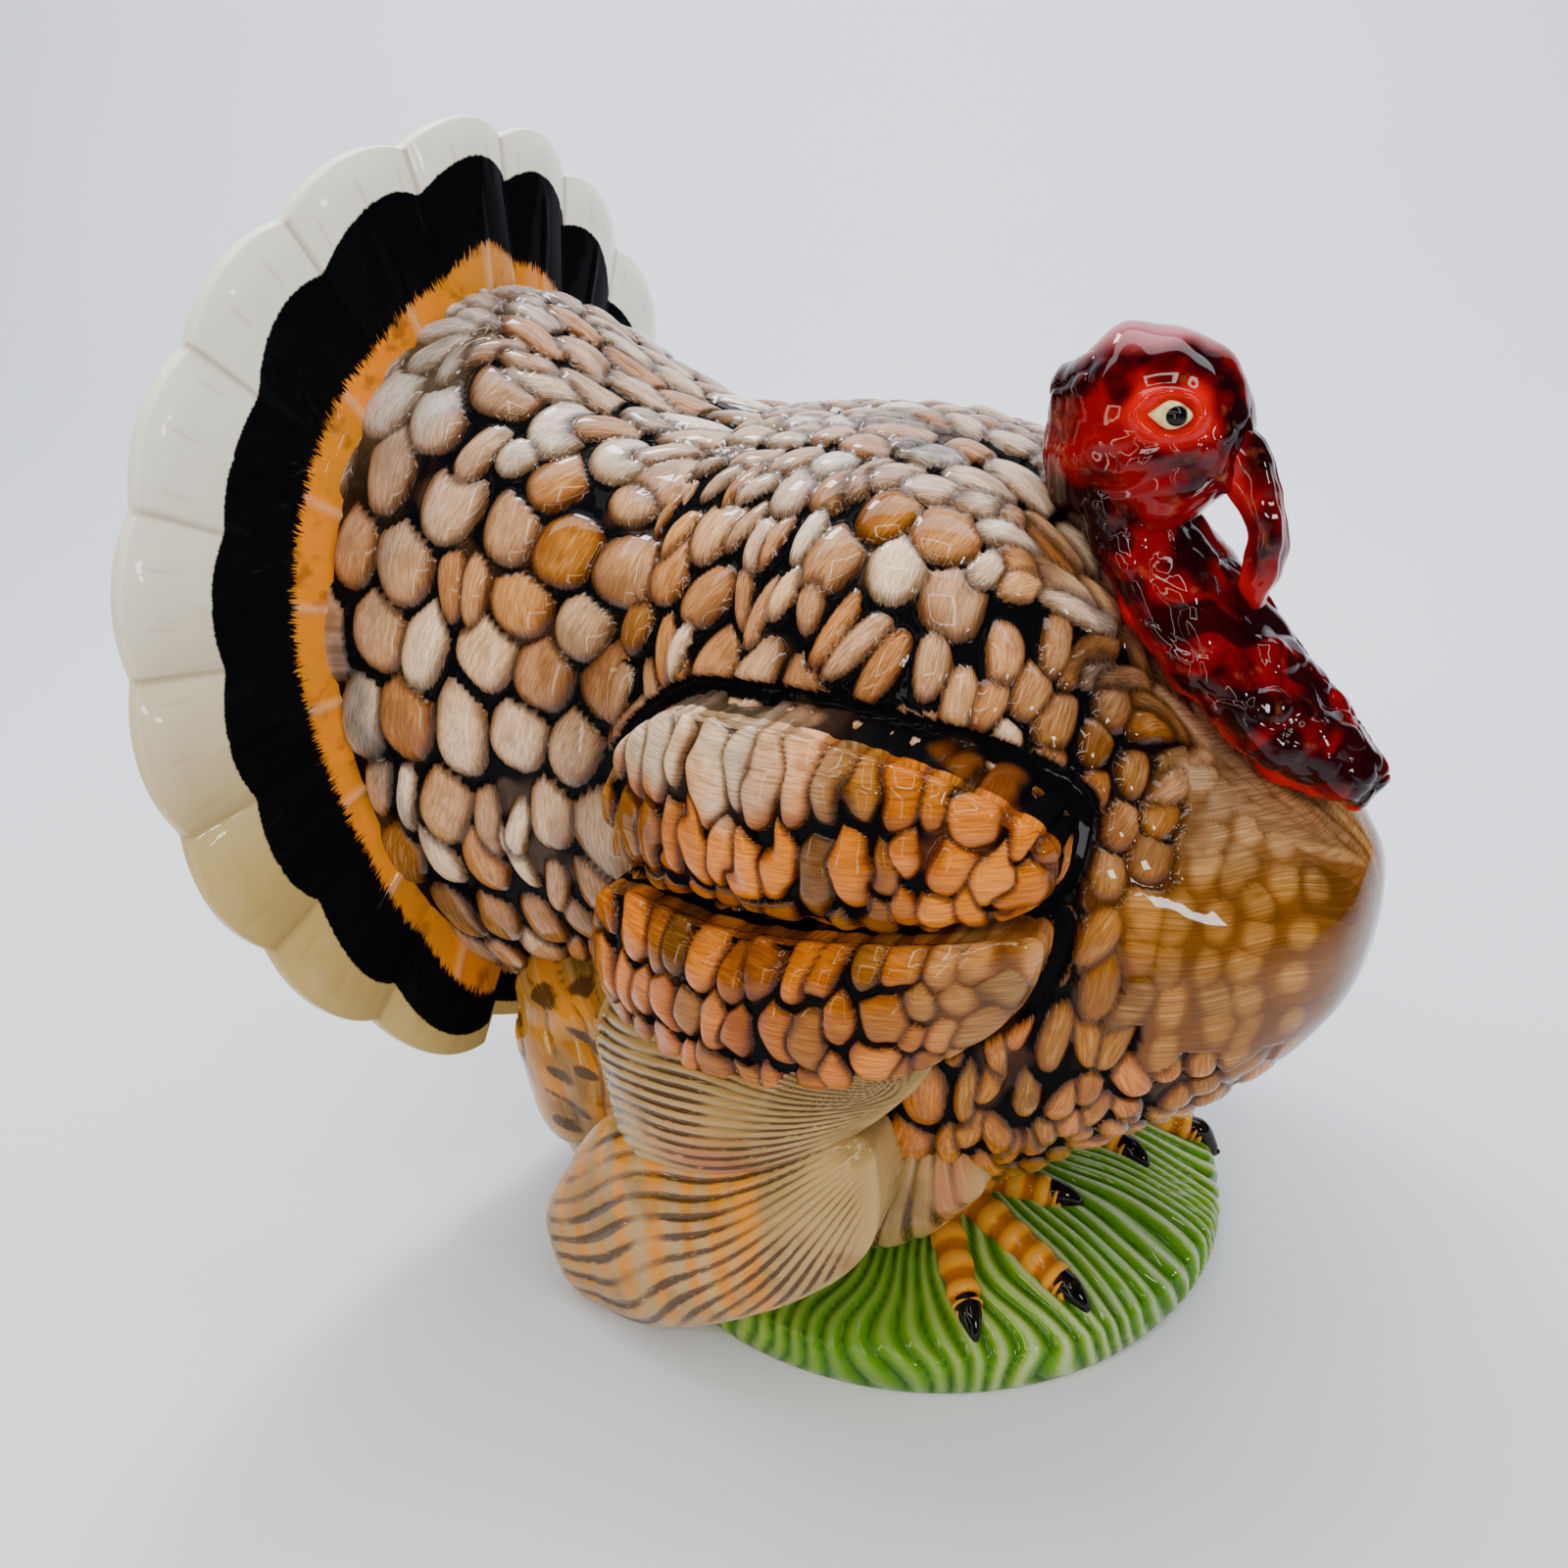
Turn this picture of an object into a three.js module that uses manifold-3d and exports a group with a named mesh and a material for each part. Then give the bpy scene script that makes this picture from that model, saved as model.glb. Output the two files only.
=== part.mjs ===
import * as THREE from "three";
import { mergeVertices } from "three/addons/utils/BufferGeometryUtils.js";
import Module from "manifold-3d";

// A hollow ceramic turkey on an oval grass mound. It faces +X, its left side is +Y and it
// stands on z = 0, with the origin in the middle of the mound's underside.
// Lengths are in millimetres and angles in degrees.

const wasm = await Module();
wasm.setup();

// Fits of the casting
const seatGap = 0.3;
const facetAllowance = 0.5;
const overrun = 4;
const wall = 6;

// Mound
const moundLength = 183;
const moundWidth = 170;
const moundEdgeHeight = 16;
const moundDomeHeight = 15;
const moundFloor = 6;
const drainHoleRadius = 7;
const drainHoleOffset = 24;

// Body, measured at the belly, the back and the breast
const bodyLength = 174;
const bodyHalfWidth = 80;
const bodyHeight = 215;
const bodySink = 8;
const bodyRearReach = 50;
const waistLean = 5;

// Tail coverts and tail fan
const coverLength = 68;
const coverHalfWidth = 74;
const coverHalfHeight = 108;
const coverDrop = 12;
const fanHalfWidth = 124;
const fanHalfHeight = 140;
const fanThickness = 7;
const fanEdgeThickness = 4;
const fanSweep = 31;
const fanSweepSoftness = 20;
const featherBulge = 4;
const featherScallop = 6;
const fanLean = 3.8;
const featherPitch = 18;
const featherCount = 17;

// Feathers in rows that hang from the spine over the body and the tail coverts
const plumeRowAngle = 12;
const plumeRows = 10;
const plumeStepAngle = 2;
const plumeScallopAngle = 1.6;
const plumeStep = 2;
const plumeValley = 1.3;

// Undertail
const undertailHeight = 80;
const undertailHalfWidth = 68;
const undertailHalfLength = 34;
const undertailClearance = 10;

// Wings, as the rise of each layer of feathers over the body's side
const wingRootDepth = 34;
const shoulderRise = 12;
const covertRise = 16;
const secondaryRise = 13;
const primaryRise = 12;
const wingEdgeDrop = 8;
const wingFlare = 12;

// Thighs, feet and claws
const thighSide = 61;
const thighRise = 9;
const toeLength = 48;
const toeRadius = 5;
const ankleRadius = 9;
const clawLength = 10;
const footSpread = 24;
const rightFootReach = 26;
const leftFootReach = 16;

// Neck, head and snood
const neckHalfWidth = 28;
const neckHalfDepth = 14;
const headLength = 48;
const headHeight = 52.5;
const headHalfWidth = 20;
const snoodHalfWidth = 6.5;
const snoodHalfDepth = 5;
const eyeLength = 9.5;
const eyeHeight = 6;
const eyeDepth = 5;

// Facets round and along the forms
const bodySides = 32;
const bodyStations = 18;
const innerStations = 5;
const plumeStations = 18;
const coverStations = 10;
const bellySides = 5;
const moundSides = 32;
const lobeSides = 22;
const stepsPerFeather = 4;
const neckSides = 18;
const roundSides = 12;
const toeSides = 8;
const clawSides = 6;

// The body's section at shares of its length from the waist to the breast: half width, top
// and bottom, as shares of the body's half width and height
const bodyShares = [
  [0, 0.875, 0.986, 0.2],
  [0.115, 0.925, 0.995, 0.098],
  [0.23, 0.975, 1, 0.042],
  [0.374, 1, 0.995, 0],
  [0.517, 0.985, 0.949, 0.033],
  [0.621, 0.935, 0.865, 0.107],
  [0.724, 0.835, 0.758, 0.181],
  [0.816, 0.71, 0.674, 0.237],
  [0.897, 0.56, 0.619, 0.298],
  [0.954, 0.39, 0.577, 0.358],
  [0.989, 0.21, 0.54, 0.414],
  [1, 0, 0.484, 0.484],
];
const waistShare = 0.3;
const bodyWidestShare = 0.54;

// Feathers cover this share of the body's length, and the plain breast goes on in rings
const plumeReachShare = 0.72;
const plumeFadeShare = 0.62;
const breastShares = [0.79, 0.86, 0.92, 0.965, 0.99];
const bodySquarenessShare = 0.88;

// The cavity ends a wall short of the breast
const cavityEndShare = 0.955;

// Radius rings of the fan as shares of its outline, and how much of the feathers' relief
// each one carries
const fanRingShares = [
  [0.5, 0],
  [0.68, 0.1],
  [0.8, 0.55],
  [0.9, 0.9],
  [0.97, 1],
  [1, 0.75],
];
const fanGapShare = 0.9;
const fanMiddleShare = 0.67;

// How far the tail coverts have gone from the body's section to their rim, along their length
const coverEaseShares = [
  [0, 0],
  [0.2, 0.08],
  [0.4, 0.32],
  [0.6, 0.72],
  [0.8, 1],
  [1, 1.04],
];

// The mound's outer profile as shares of its radius and of its edge or dome height
const moundSideShares = [
  [0.975, 0],
  [1, 0.25],
  [1, 0.55],
];
const moundBrimShares = [
  [0.98, 0.82],
  [0.93, 1],
];
const moundDomeShares = [
  [0.82, 0.28],
  [0.64, 0.56],
  [0.42, 0.82],
  [0.2, 0.96],
];
const moundHollowShares = [
  [0.86, 0],
  [0.88, 0.5],
  [0.7, 0.86],
  [0.4, 1],
];

// Depth and size of a wing lobe's outline: in from its edge to its root, out to its crest
const rootShares = [
  [0, 0.8],
  [0.6, 0.97],
];
const crownShares = [
  [0, 1],
  [0.55, 0.93],
  [0.85, 0.76],
  [0.97, 0.5],
];

// Outlines of the wing lobes in the side view, as shares of the body's length and height
const shoulderOutlineShares = [
  [0.02, 0.597],
  [0.066, 0.699],
  [0.141, 0.757],
  [0.219, 0.782],
  [0.396, 0.786],
  [0.563, 0.764],
  [0.692, 0.715],
  [0.734, 0.67],
  [0.682, 0.597],
  [0.424, 0.558],
  [0.25, 0.55],
  [0.114, 0.535],
];
const covertOutlineShares = [
  [-0.01, 0.479],
  [0.05, 0.535],
  [0.278, 0.548],
  [0.541, 0.585],
  [0.68, 0.6],
  [0.705, 0.56],
  [0.662, 0.483],
  [0.509, 0.393],
  [0.358, 0.337],
  [0.245, 0.322],
  [0.136, 0.316],
  [0.026, 0.338],
  [-0.023, 0.392],
];
const secondaryOutlineShares = [
  [-0.028, 0.31],
  [-0.019, 0.254],
  [0.033, 0.166],
  [0.115, 0.16],
  [0.239, 0.192],
  [0.353, 0.242],
  [0.491, 0.339],
  [0.56, 0.42],
  [0.504, 0.46],
  [0.178, 0.41],
  [0.02, 0.37],
];
const primaryOutlineShares = [
  [-0.101, 0.073],
  [-0.132, 0],
  [-0.086, -0.076],
  [0.004, -0.09],
  [0.136, -0.055],
  [0.358, 0.065],
  [0.48, 0.167],
  [0.49, 0.26],
  [0.44, 0.31],
  [0.2, 0.25],
  [0, 0.19],
];
const wingFlareShare = 0.36;

// Undertail at shares of its height: place along the body, half length and half width
const undertailShares = [
  [0.06, -0.13, 0.62, 0.72],
  [0.2, -0.14, 0.86, 0.92],
  [0.45, -0.145, 1, 1],
  [0.75, -0.15, 1, 0.98],
  [0.94, -0.15, 0.75, 0.8],
];
const undertailSquarenessShare = 0.62;

const thighOutlineShares = [
  [0.38, 0.023],
  [0.483, 0.079],
  [0.54, 0.135],
  [0.58, 0.19],
  [0.54, 0.251],
  [0.46, 0.265],
  [0.405, 0.225],
  [0.372, 0.13],
  [0.362, 0.06],
];

// Toes: direction from straight ahead, and length share
const toeAngles = [-14, 18, 50];
const toeLengthShares = [0.82, 1.12, 1];
const toeThicknessShares = [
  [0, 0.9],
  [0.3, 1],
  [0.6, 0.92],
  [0.88, 0.8],
  [0.97, 0.5],
];

// Claws: thickness along them, and how much of each is hidden in its toe
const clawRootShare = 0.5;
const clawShares = [
  [0, 0.62],
  [0.4, 0.56],
  [0.8, 0.34],
  [1, 0.14],
];

// Neck along its path from the head to the breast: place along and up the body, then half
// width and half depth
const neckShares = [
  [0.622, 0.94, 0.62, 0.8],
  [0.672, 0.862, 0.7, 0.88],
  [0.735, 0.804, 0.76, 0.92],
  [0.799, 0.75, 0.78, 0.88],
  [0.857, 0.706, 0.7, 0.86],
  [0.91, 0.668, 0.5, 0.76],
  [0.95, 0.648, 0.34, 0.55],
  [0.966, 0.636, 0.2, 0.4],
];

// Head at shares of its length from the nape to the brow: half width, top and bottom
const headShares = [
  [0.04, 0.35, 0.68, 0.2],
  [0.16, 0.68, 0.86, 0.08],
  [0.34, 0.93, 0.98, 0.02],
  [0.56, 1, 1, 0.02],
  [0.76, 0.9, 0.94, 0.14],
  [0.9, 0.68, 0.82, 0.33],
  [0.97, 0.4, 0.7, 0.42],
];
const headHeightShare = 0.864;
const headRearShare = 0.509;

// Snood from the brow to its tip, as shares of the head's length and height, then the
// shares of its half width and half depth
const snoodShares = [
  [0.8, 0.57, 1, 1.4],
  [0.93, 0.45, 1, 1.5],
  [1.015, 0.345, 1, 1.15],
  [1.08, 0.21, 1, 0.95],
  [1.09, 0.07, 1, 0.95],
  [1.07, -0.06, 0.9, 0.85],
  [1.075, -0.16, 0.5, 0.45],
];
const eyeShare = [0.72, 0.83, 0.69];

// Colours and gloss of the glazes
const glazes = {
  grass: { color: 0x4f8f1f, roughness: 0.12 },
  plumage: { color: 0xc08a5e, roughness: 0.16 },
  rump: { color: 0xb98f6c, roughness: 0.16 },
  tailBands: { color: 0xe6dcc0, roughness: 0.1 },
  undertail: { color: 0xb99a5a, roughness: 0.16 },
  wingAmber: { color: 0xc7772c, roughness: 0.14 },
  wingTan: { color: 0xb8a27c, roughness: 0.16 },
  thigh: { color: 0xb7a078, roughness: 0.16 },
  toe: { color: 0xd08a24, roughness: 0.14 },
  claw: { color: 0x1c1814, roughness: 0.12 },
  wattle: { color: 0x7a0d12, roughness: 0.08 },
  eye: { color: 0xe2d3a0, roughness: 0.08 },
};

const moundTop = moundEdgeHeight + moundDomeHeight;
const bodyBottom = moundTop - bodySink;
const bodyMiddle = bodyBottom + bodyHeight / 2;
const fanX = -bodyRearReach - coverLength;

// Smooth reading of a table of rows by its first column
function smoothTable(rows) {
  const keys = rows.map((row) => row[0]);
  const values = rows.flatMap((row) => row.slice(1));
  const width = rows[0].length - 1;
  const reader = new THREE.CubicInterpolant(keys, values, width, new Array(width));
  return (key) => Array.from(reader.evaluate(key));
}

// A point in the body's own shares: along its length, of its half width, up its height
function bodyPoint([along, side, up]) {
  return new THREE.Vector3(
    bodyLength * along - bodyRearReach,
    bodyHalfWidth * side,
    bodyBottom + bodyHeight * up,
  );
}

// Closed skin over rings of points, where a ring of one point is a pole
function skinOver(rings) {
  const positions = rings.flat().flatMap((point) => point.toArray());
  const starts = [];
  rings.reduce((start, ring) => {
    starts.push(start);
    return start + ring.length;
  }, 0);
  const index = [];
  for (let next = 1; next < rings.length; next += 1) {
    const band = next - 1;
    stitch(index, starts[band], rings[band].length, starts[next], rings[next].length);
  }
  const geometry = new THREE.BufferGeometry();
  geometry.setAttribute("position", new THREE.Float32BufferAttribute(positions, 3));
  geometry.setIndex(index);
  return facingOut(geometry);
}

// Triangles between two neighbouring rings
function stitch(index, low, lowCount, high, highCount) {
  const count = Math.max(lowCount, highCount);
  for (let side = 0; side < count; side += 1) {
    const after = (side + 1) % count;
    if (lowCount === 1) {
      index.push(low, high + after, high + side);
    } else if (highCount === 1) {
      index.push(low + side, low + after, high);
    } else {
      index.push(low + side, low + after, high + after);
      index.push(low + side, high + after, high + side);
    }
  }
}

// Turns a closed skin so that its faces point outwards
function facingOut(geometry) {
  const place = geometry.getAttribute("position");
  const index = Array.from(geometry.getIndex().array);
  const corners = [new THREE.Vector3(), new THREE.Vector3(), new THREE.Vector3()];
  let volume = 0;
  for (let i = 0; i < index.length; i += 3) {
    corners.forEach((corner, c) => corner.fromBufferAttribute(place, index[i + c]));
    volume += corners[0].dot(corners[1].clone().cross(corners[2]));
  }
  if (volume < 0) {
    geometry.setIndex(index.reverse());
  }
  return geometry;
}

// A merged copy that holds only positions and no collapsed triangles
function mergedSkin(geometry) {
  const bare = geometry.clone();
  bare.deleteAttribute("normal");
  bare.deleteAttribute("uv");
  const merged = mergeVertices(bare);
  const index = Array.from(merged.getIndex().array);
  const kept = [];
  for (let i = 0; i < index.length; i += 3) {
    const [a, b, c] = index.slice(i, i + 3);
    if (a !== b && b !== c && c !== a) {
      kept.push(a, b, c);
    }
  }
  merged.setIndex(kept);
  return merged;
}

function toSolid(geometry) {
  const merged = mergedSkin(geometry);
  return new wasm.Manifold(new wasm.Mesh({
    numProp: 3,
    vertProperties: new Float32Array(merged.getAttribute("position").array),
    triVerts: new Uint32Array(merged.getIndex().array),
  }));
}

function fromSolid(solid) {
  const { vertProperties, triVerts } = solid.getMesh();
  const geometry = new THREE.BufferGeometry();
  geometry.setAttribute("position", new THREE.BufferAttribute(vertProperties, 3));
  geometry.setIndex(new THREE.BufferAttribute(triVerts, 1));
  geometry.computeVertexNormals();
  return geometry;
}

// The same skin moved outwards by a gap, to cut its neighbours with
function swollen(geometry, gap = seatGap) {
  const merged = mergedSkin(geometry);
  merged.computeVertexNormals();
  const place = merged.getAttribute("position");
  const normal = merged.getAttribute("normal");
  for (let i = 0; i < place.count; i += 1) {
    place.setXYZ(
      i,
      place.getX(i) + normal.getX(i) * gap,
      place.getY(i) + normal.getY(i) * gap,
      place.getZ(i) + normal.getZ(i) * gap,
    );
  }
  return merged;
}

// A form keeps its whole solid and the cutter that seats its neighbours
function formOf(geometry) {
  return { solid: toSolid(geometry), cutter: toSolid(swollen(geometry)) };
}

// Cuts a solid by its neighbours and keeps its largest piece
function seated(solid, neighbours) {
  const cut = neighbours.reduce((rest, neighbour) => rest.subtract(neighbour.cutter), solid);
  const pieces = cut.decompose();
  return pieces.reduce((best, piece) => (piece.volume() > best.volume() ? piece : best));
}

// A round bar of the given radius between two points
function bar(start, end, radius) {
  const path = new THREE.LineCurve3(start, end);
  const section = new THREE.Shape();
  section.absarc(0, 0, radius, 0, 2 * Math.PI);
  return toSolid(new THREE.ExtrudeGeometry(section, {
    steps: 1,
    curveSegments: roundSides,
    extrudePath: path,
  }));
}

// Rings round a path: the path lies in the side view and each ring is an ellipse
function sweptSkin(stops, sides) {
  const path = new THREE.CatmullRomCurve3(stops.map((stop) => stop.at));
  const last = stops.length - 1;
  const rings = stops.map((stop, i) => {
    const along = path.getTangent(i / last);
    const across = new THREE.Vector3(0, 1, 0).cross(along).normalize();
    const side = new THREE.Vector3().crossVectors(along, across);
    return ringAt(stop, side, across, sides);
  });
  return skinOver([capPoint(stops[0], path, 0), ...rings, capPoint(stops[last], path, 1)]);
}

function ringAt(stop, side, across, sides) {
  return Array.from({ length: sides }, (_, i) => {
    const turn = (2 * Math.PI * i) / sides;
    return stop.at.clone()
      .addScaledVector(side, stop.halfWidth * Math.cos(turn))
      .addScaledVector(across, stop.halfDepth * Math.sin(turn));
  });
}

// The rounded end of a swept skin stands out by half of its last ring's depth
function capPoint(stop, path, share) {
  const outwards = share === 0 ? -1 : 1;
  const reach = (outwards * stop.halfDepth) / 2;
  return [stop.at.clone().addScaledVector(path.getTangent(share), reach)];
}

// Rows of a profile with their heights as lengths, counted up from a floor
function heights(rows, floor, rise) {
  return rows.map(([radius, up]) => [radius, floor + up * rise]);
}

// Oval mound with a low dome
function moundForm() {
  return formOf(ovalLathe([
    [0, 0],
    ...heights([...moundSideShares, ...moundBrimShares], 0, moundEdgeHeight),
    ...heights(moundDomeShares, moundEdgeHeight, moundDomeHeight),
    [0, moundTop],
  ]));
}

function moundHollow() {
  const rise = bodyBottom - wall - moundFloor;
  return toSolid(ovalLathe([
    [0, moundFloor],
    ...heights(moundHollowShares, moundFloor, rise),
    [0, moundFloor + rise],
  ]));
}

// An oval turned from rows of radius share and height
function ovalLathe(profile) {
  const half = moundLength / 2;
  const points = profile.map(([radius, up]) => new THREE.Vector2(radius * half, up));
  const geometry = new THREE.LatheGeometry(points, moundSides);
  geometry.rotateX(Math.PI / 2);
  geometry.scale(1, moundWidth / moundLength, 1);
  return facingOut(mergedSkin(geometry));
}

const bodyRow = smoothTable(bodyShares);

// A point of the body's section at a turn from its left side, drawn in by a thickness
function sectionPoint(along, turn, inset) {
  const [width, top, bottom] = bodyRow(along);
  const half = Math.max(bodyHalfWidth * width - inset, 0);
  const high = bodyBottom + bodyHeight * top - inset;
  const low = bodyBottom + bodyHeight * bottom + inset;
  const widest = low + (high - low) * bodyWidestShare;
  const upward = squared(Math.sin(turn));
  const reach = upward > 0 ? high - widest : widest - low;
  const up = widest + reach * upward;
  return new THREE.Vector3(bodyPlace(along, up), half * squared(Math.cos(turn)), up);
}

const evenTurns = Array.from({ length: bodySides }, (_, i) => (2 * Math.PI * i) / bodySides);
const innerTurns = evenTurns.filter((_, i) => i % 2 === 0);

// One plain section of the body
function bodyRing(along, inset = 0, turns = evenTurns) {
  return turns.map((turn) => sectionPoint(along, turn, inset));
}

// Columns of a feathered ring down one side: the tip of each row and the root of the next
// below it, then the plain belly
const plumeColumns = Array.from({ length: plumeRows }, (_, row) => [
  { row, step: -1 },
  { row: row + 1, step: 1 },
]).flat();

// Turns and insets round a ring at a station: a feather's middle and the valley beside it
// take turns along the body, and each row is half a feather on from the row above it
function plumeRing(station) {
  const side = plumeColumns.map(({ row, step }) => {
    const upper = step < 0 ? row : row - 1;
    const valley = onValley(station, upper);
    const drop = plumeScallopAngle * (valley ? -1 : 1) + (plumeStepAngle / 2) * step;
    const inset = step < 0 ? valley * plumeValley : plumeStep;
    return { fall: (upper + 1 / 2) * plumeRowAngle + drop, inset };
  });
  const last = plumeRows * plumeRowAngle;
  const belly = Array.from({ length: bellySides - 1 }, (_, i) => (
    { fall: last + ((2 * (180 - last)) / bellySides) * (i + 1), inset: 0 }
  ));
  const rest = side.toReversed().map(({ fall, inset }) => ({ fall: 360 - fall, inset }));
  const ring = [{ fall: 0, inset: onValley(station, 0) * plumeValley }, ...side, ...belly, ...rest];
  return ring.map(({ fall, inset }) => ({ turn: THREE.MathUtils.degToRad(90 + fall), inset }));
}

// 1 where a station lies between two feathers of a row, 0 on a feather's middle
function onValley(station, row) {
  return Math.abs(station + row) % 2;
}

// Sections lean forward at the waist and stand upright further on
function bodyPlace(along, up) {
  const fade = Math.max(0, 1 - along / waistShare);
  const lean = Math.tan(THREE.MathUtils.degToRad(waistLean)) * fade;
  return bodyLength * along - bodyRearReach + (up - bodyMiddle) * lean;
}

// A sine or cosine flattened a little, so that sections are fuller than an ellipse
function squared(value, share = bodySquarenessShare) {
  return Math.sign(value) * Math.abs(value) ** share;
}

function middleOf(ring) {
  const sum = ring.reduce((total, point) => total.add(point), new THREE.Vector3());
  return [sum.divideScalar(ring.length)];
}

// Shares along the body, closer together towards the breast
function bodySteps(count, reach) {
  return Array.from({ length: count }, (_, i) => reach * Math.sin((Math.PI / 2) * (i / count)));
}

// The feathered body, with a plain skin round it to cut its neighbours with
function bodyForm() {
  const tip = middleOf(bodyRing(1));
  const plain = closedSkin(bodySteps(bodyStations, 1).map((along) => bodyRing(along)), tip);
  const stations = Array.from({ length: plumeStations + 1 }, (_, i) => i);
  const feathered = stations.map((station) => (
    featheredSection(plumeReachShare * (station / plumeStations), station)
  ));
  const breast = breastShares.map((along) => featheredSection(along, 0));
  const skin = closedSkin([...feathered, ...breast], tip);
  return { solid: toSolid(skin), cutter: toSolid(swollen(plain, seatGap + facetAllowance)) };
}

function featheredSection(along, station) {
  const fade = 1 - THREE.MathUtils.smoothstep(along, plumeFadeShare, plumeReachShare);
  return plumeRing(station).map(({ turn, inset }) => sectionPoint(along, turn, inset * fade));
}

// Skin over rings that starts on the first one's middle
function closedSkin(rings, end = middleOf(rings.at(-1))) {
  return skinOver([middleOf(rings[0]), ...rings, end]);
}

// The cavity opens at the waist, where the tail coverts go on
function bodyCavity() {
  const ringAlong = (along) => bodyRing(along, wall, innerTurns);
  const rings = bodySteps(innerStations, cavityEndShare).map(ringAlong);
  return toSolid(closedSkin([movedBack(rings[0], overrun), ...rings],
    middleOf(ringAlong(cavityEndShare))));
}

function movedBack(ring, distance) {
  return ring.map((point) => point.clone().setX(point.x - distance));
}

const fanMiddle = new THREE.Vector3(fanX, 0, bodyBottom + bodyHeight * fanMiddleShare);

// The fan leans back, and its sides are swept back from the middle
function fanFront(side, up) {
  const soft = Math.hypot(side, fanSweepSoftness) - fanSweepSoftness;
  const full = Math.hypot(fanHalfWidth, fanSweepSoftness) - fanSweepSoftness;
  const lean = Math.tan(THREE.MathUtils.degToRad(fanLean)) * up;
  return fanX - lean - fanSweep * (soft / full);
}

// Place across one feather: -1 and 1 in the valleys, 0 on the middle rib
function acrossFeather(angle) {
  const span = angle / featherPitch;
  return 2 * (span - Math.round(span));
}

// Outline share and relief at an angle from the top of the fan
function fanEdge(angle) {
  const covered = (featherPitch * featherCount) / 2;
  if (Math.abs(angle) > covered) {
    return { reach: fanGapShare, relief: 0, scallop: 0 };
  }
  const across = acrossFeather(angle);
  return { reach: 1, relief: 1 - across * across, scallop: across * across };
}

function fanPoint(angle, [share, reliefShare], depth) {
  const edge = fanEdge(angle);
  const turn = THREE.MathUtils.degToRad(angle);
  const cut = featherScallop * edge.scallop * reliefShare;
  const side = Math.sin(turn) * (fanHalfWidth * share * edge.reach - cut);
  const up = Math.cos(turn) * (fanHalfHeight * share * edge.reach - cut);
  const relief = featherBulge * edge.relief * reliefShare;
  return new THREE.Vector3(fanFront(side, up) + relief - depth, -side, fanMiddle.z + up);
}

function fanAngles(stepCount) {
  const step = featherPitch / stepCount;
  const count = Math.round(360 / step);
  return Array.from({ length: count }, (_, i) => step * i - 180);
}

// Corrugated disc: rings out over the front, round the scalloped edge and back in
function fanSkin(thickness, edgeThickness, stepCount) {
  const angles = fanAngles(stepCount);
  const ringOf = (row, depth) => angles.map((angle) => fanPoint(angle, row, depth));
  const front = fanRingShares.map((row) => ringOf(row, 0));
  const back = [
    ringOf(fanRingShares.at(-1), edgeThickness),
    ringOf(fanRingShares[0], thickness),
  ];
  const end = fanMiddle.clone().setX(fanX - thickness);
  return skinOver([[fanMiddle], ...front, ...back, [end]]);
}

// The room that the fan takes up, for what ends at its front
function fanRoom() {
  const room = fanSkin(coverLength, coverLength, stepsPerFeather / 2);
  return { cutter: toSolid(swollen(room, seatGap + facetAllowance)) };
}

const coverEase = smoothTable(coverEaseShares);

// A point of the tail coverts at a share of their length from the waist, drawn in by a thickness
function coverPoint(share, turn, inset) {
  const start = sectionPoint(0, turn, inset);
  const side = (coverHalfWidth - inset) * Math.cos(turn);
  const up = (coverHalfHeight - inset) * Math.sin(turn) - coverDrop;
  const rim = new THREE.Vector3(fanFront(side, up) - overrun, side, fanMiddle.z + up);
  const spot = start.clone().lerp(rim, coverEase(share)[0]);
  const from = start.x - seatGap;
  return spot.setX(from + (rim.x - from) * share);
}

// Hollow flare of feathers from the waist to the fan
function coverForm() {
  const plain = (inset, turns) => coverEaseShares.map(([share]) => (
    turns.map((turn) => coverPoint(share, turn, inset))
  ));
  const feathered = Array.from({ length: coverStations + 1 }, (_, station) => (
    plumeRing(-station).map(({ turn, inset }) => coverPoint(station / coverStations, turn, inset))
  ));
  const inner = plain(wall, innerTurns);
  const hollow = closedSkin([
    movedBack(inner[0], -overrun),
    ...inner,
    movedBack(inner.at(-1), overrun),
  ]);
  return {
    solid: toSolid(closedSkin(feathered)).subtract(toSolid(hollow)),
    cutter: toSolid(swollen(closedSkin(plain(0, evenTurns)), seatGap + facetAllowance)),
  };
}

// A wing lobe follows the body's side and is crowned outwards to its rise
function lobeForm(outlineShares, rise, sideAt = wingSide) {
  const outline = new THREE.CatmullRomCurve3(
    outlineShares.map(([along, up]) => bodyPoint([along, 0, up])),
    true,
  ).getPoints(lobeSides).slice(0, lobeSides);
  const [middle] = middleOf(outline);
  const ring = (stand, size) => outline.map((point) => {
    const spot = middle.clone().lerp(point, size);
    return spot.setY(-(sideAt(spot) + stand));
  });
  const edge = rise - wingEdgeDrop;
  const rings = [
    ...rootShares.map(([depth, size]) => ring(
      THREE.MathUtils.lerp(-wingRootDepth, edge, depth), size)),
    ...crownShares.map(([depth, size]) => ring(edge + wingEdgeDrop * depth, size)),
  ];
  const root = middle.clone().setY(wingRootDepth - sideAt(middle));
  const crest = middle.clone().setY(-(sideAt(middle) + rise));
  return formOf(skinOver([[root], ...rings, [crest]]));
}

// The side that a wing lies on: the body's, standing out more the lower the feathers hang
function wingSide(point) {
  const top = bodyBottom + bodyHeight * wingFlareShare;
  const flare = Math.tan(THREE.MathUtils.degToRad(wingFlare));
  return sideOf(point.x) + Math.max(0, top - point.z) * flare;
}

// Half width of the body at a place along it
function sideOf(x) {
  const along = THREE.MathUtils.clamp((x + bodyRearReach) / bodyLength, 0, 1);
  return bodyHalfWidth * bodyRow(along)[0];
}

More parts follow.
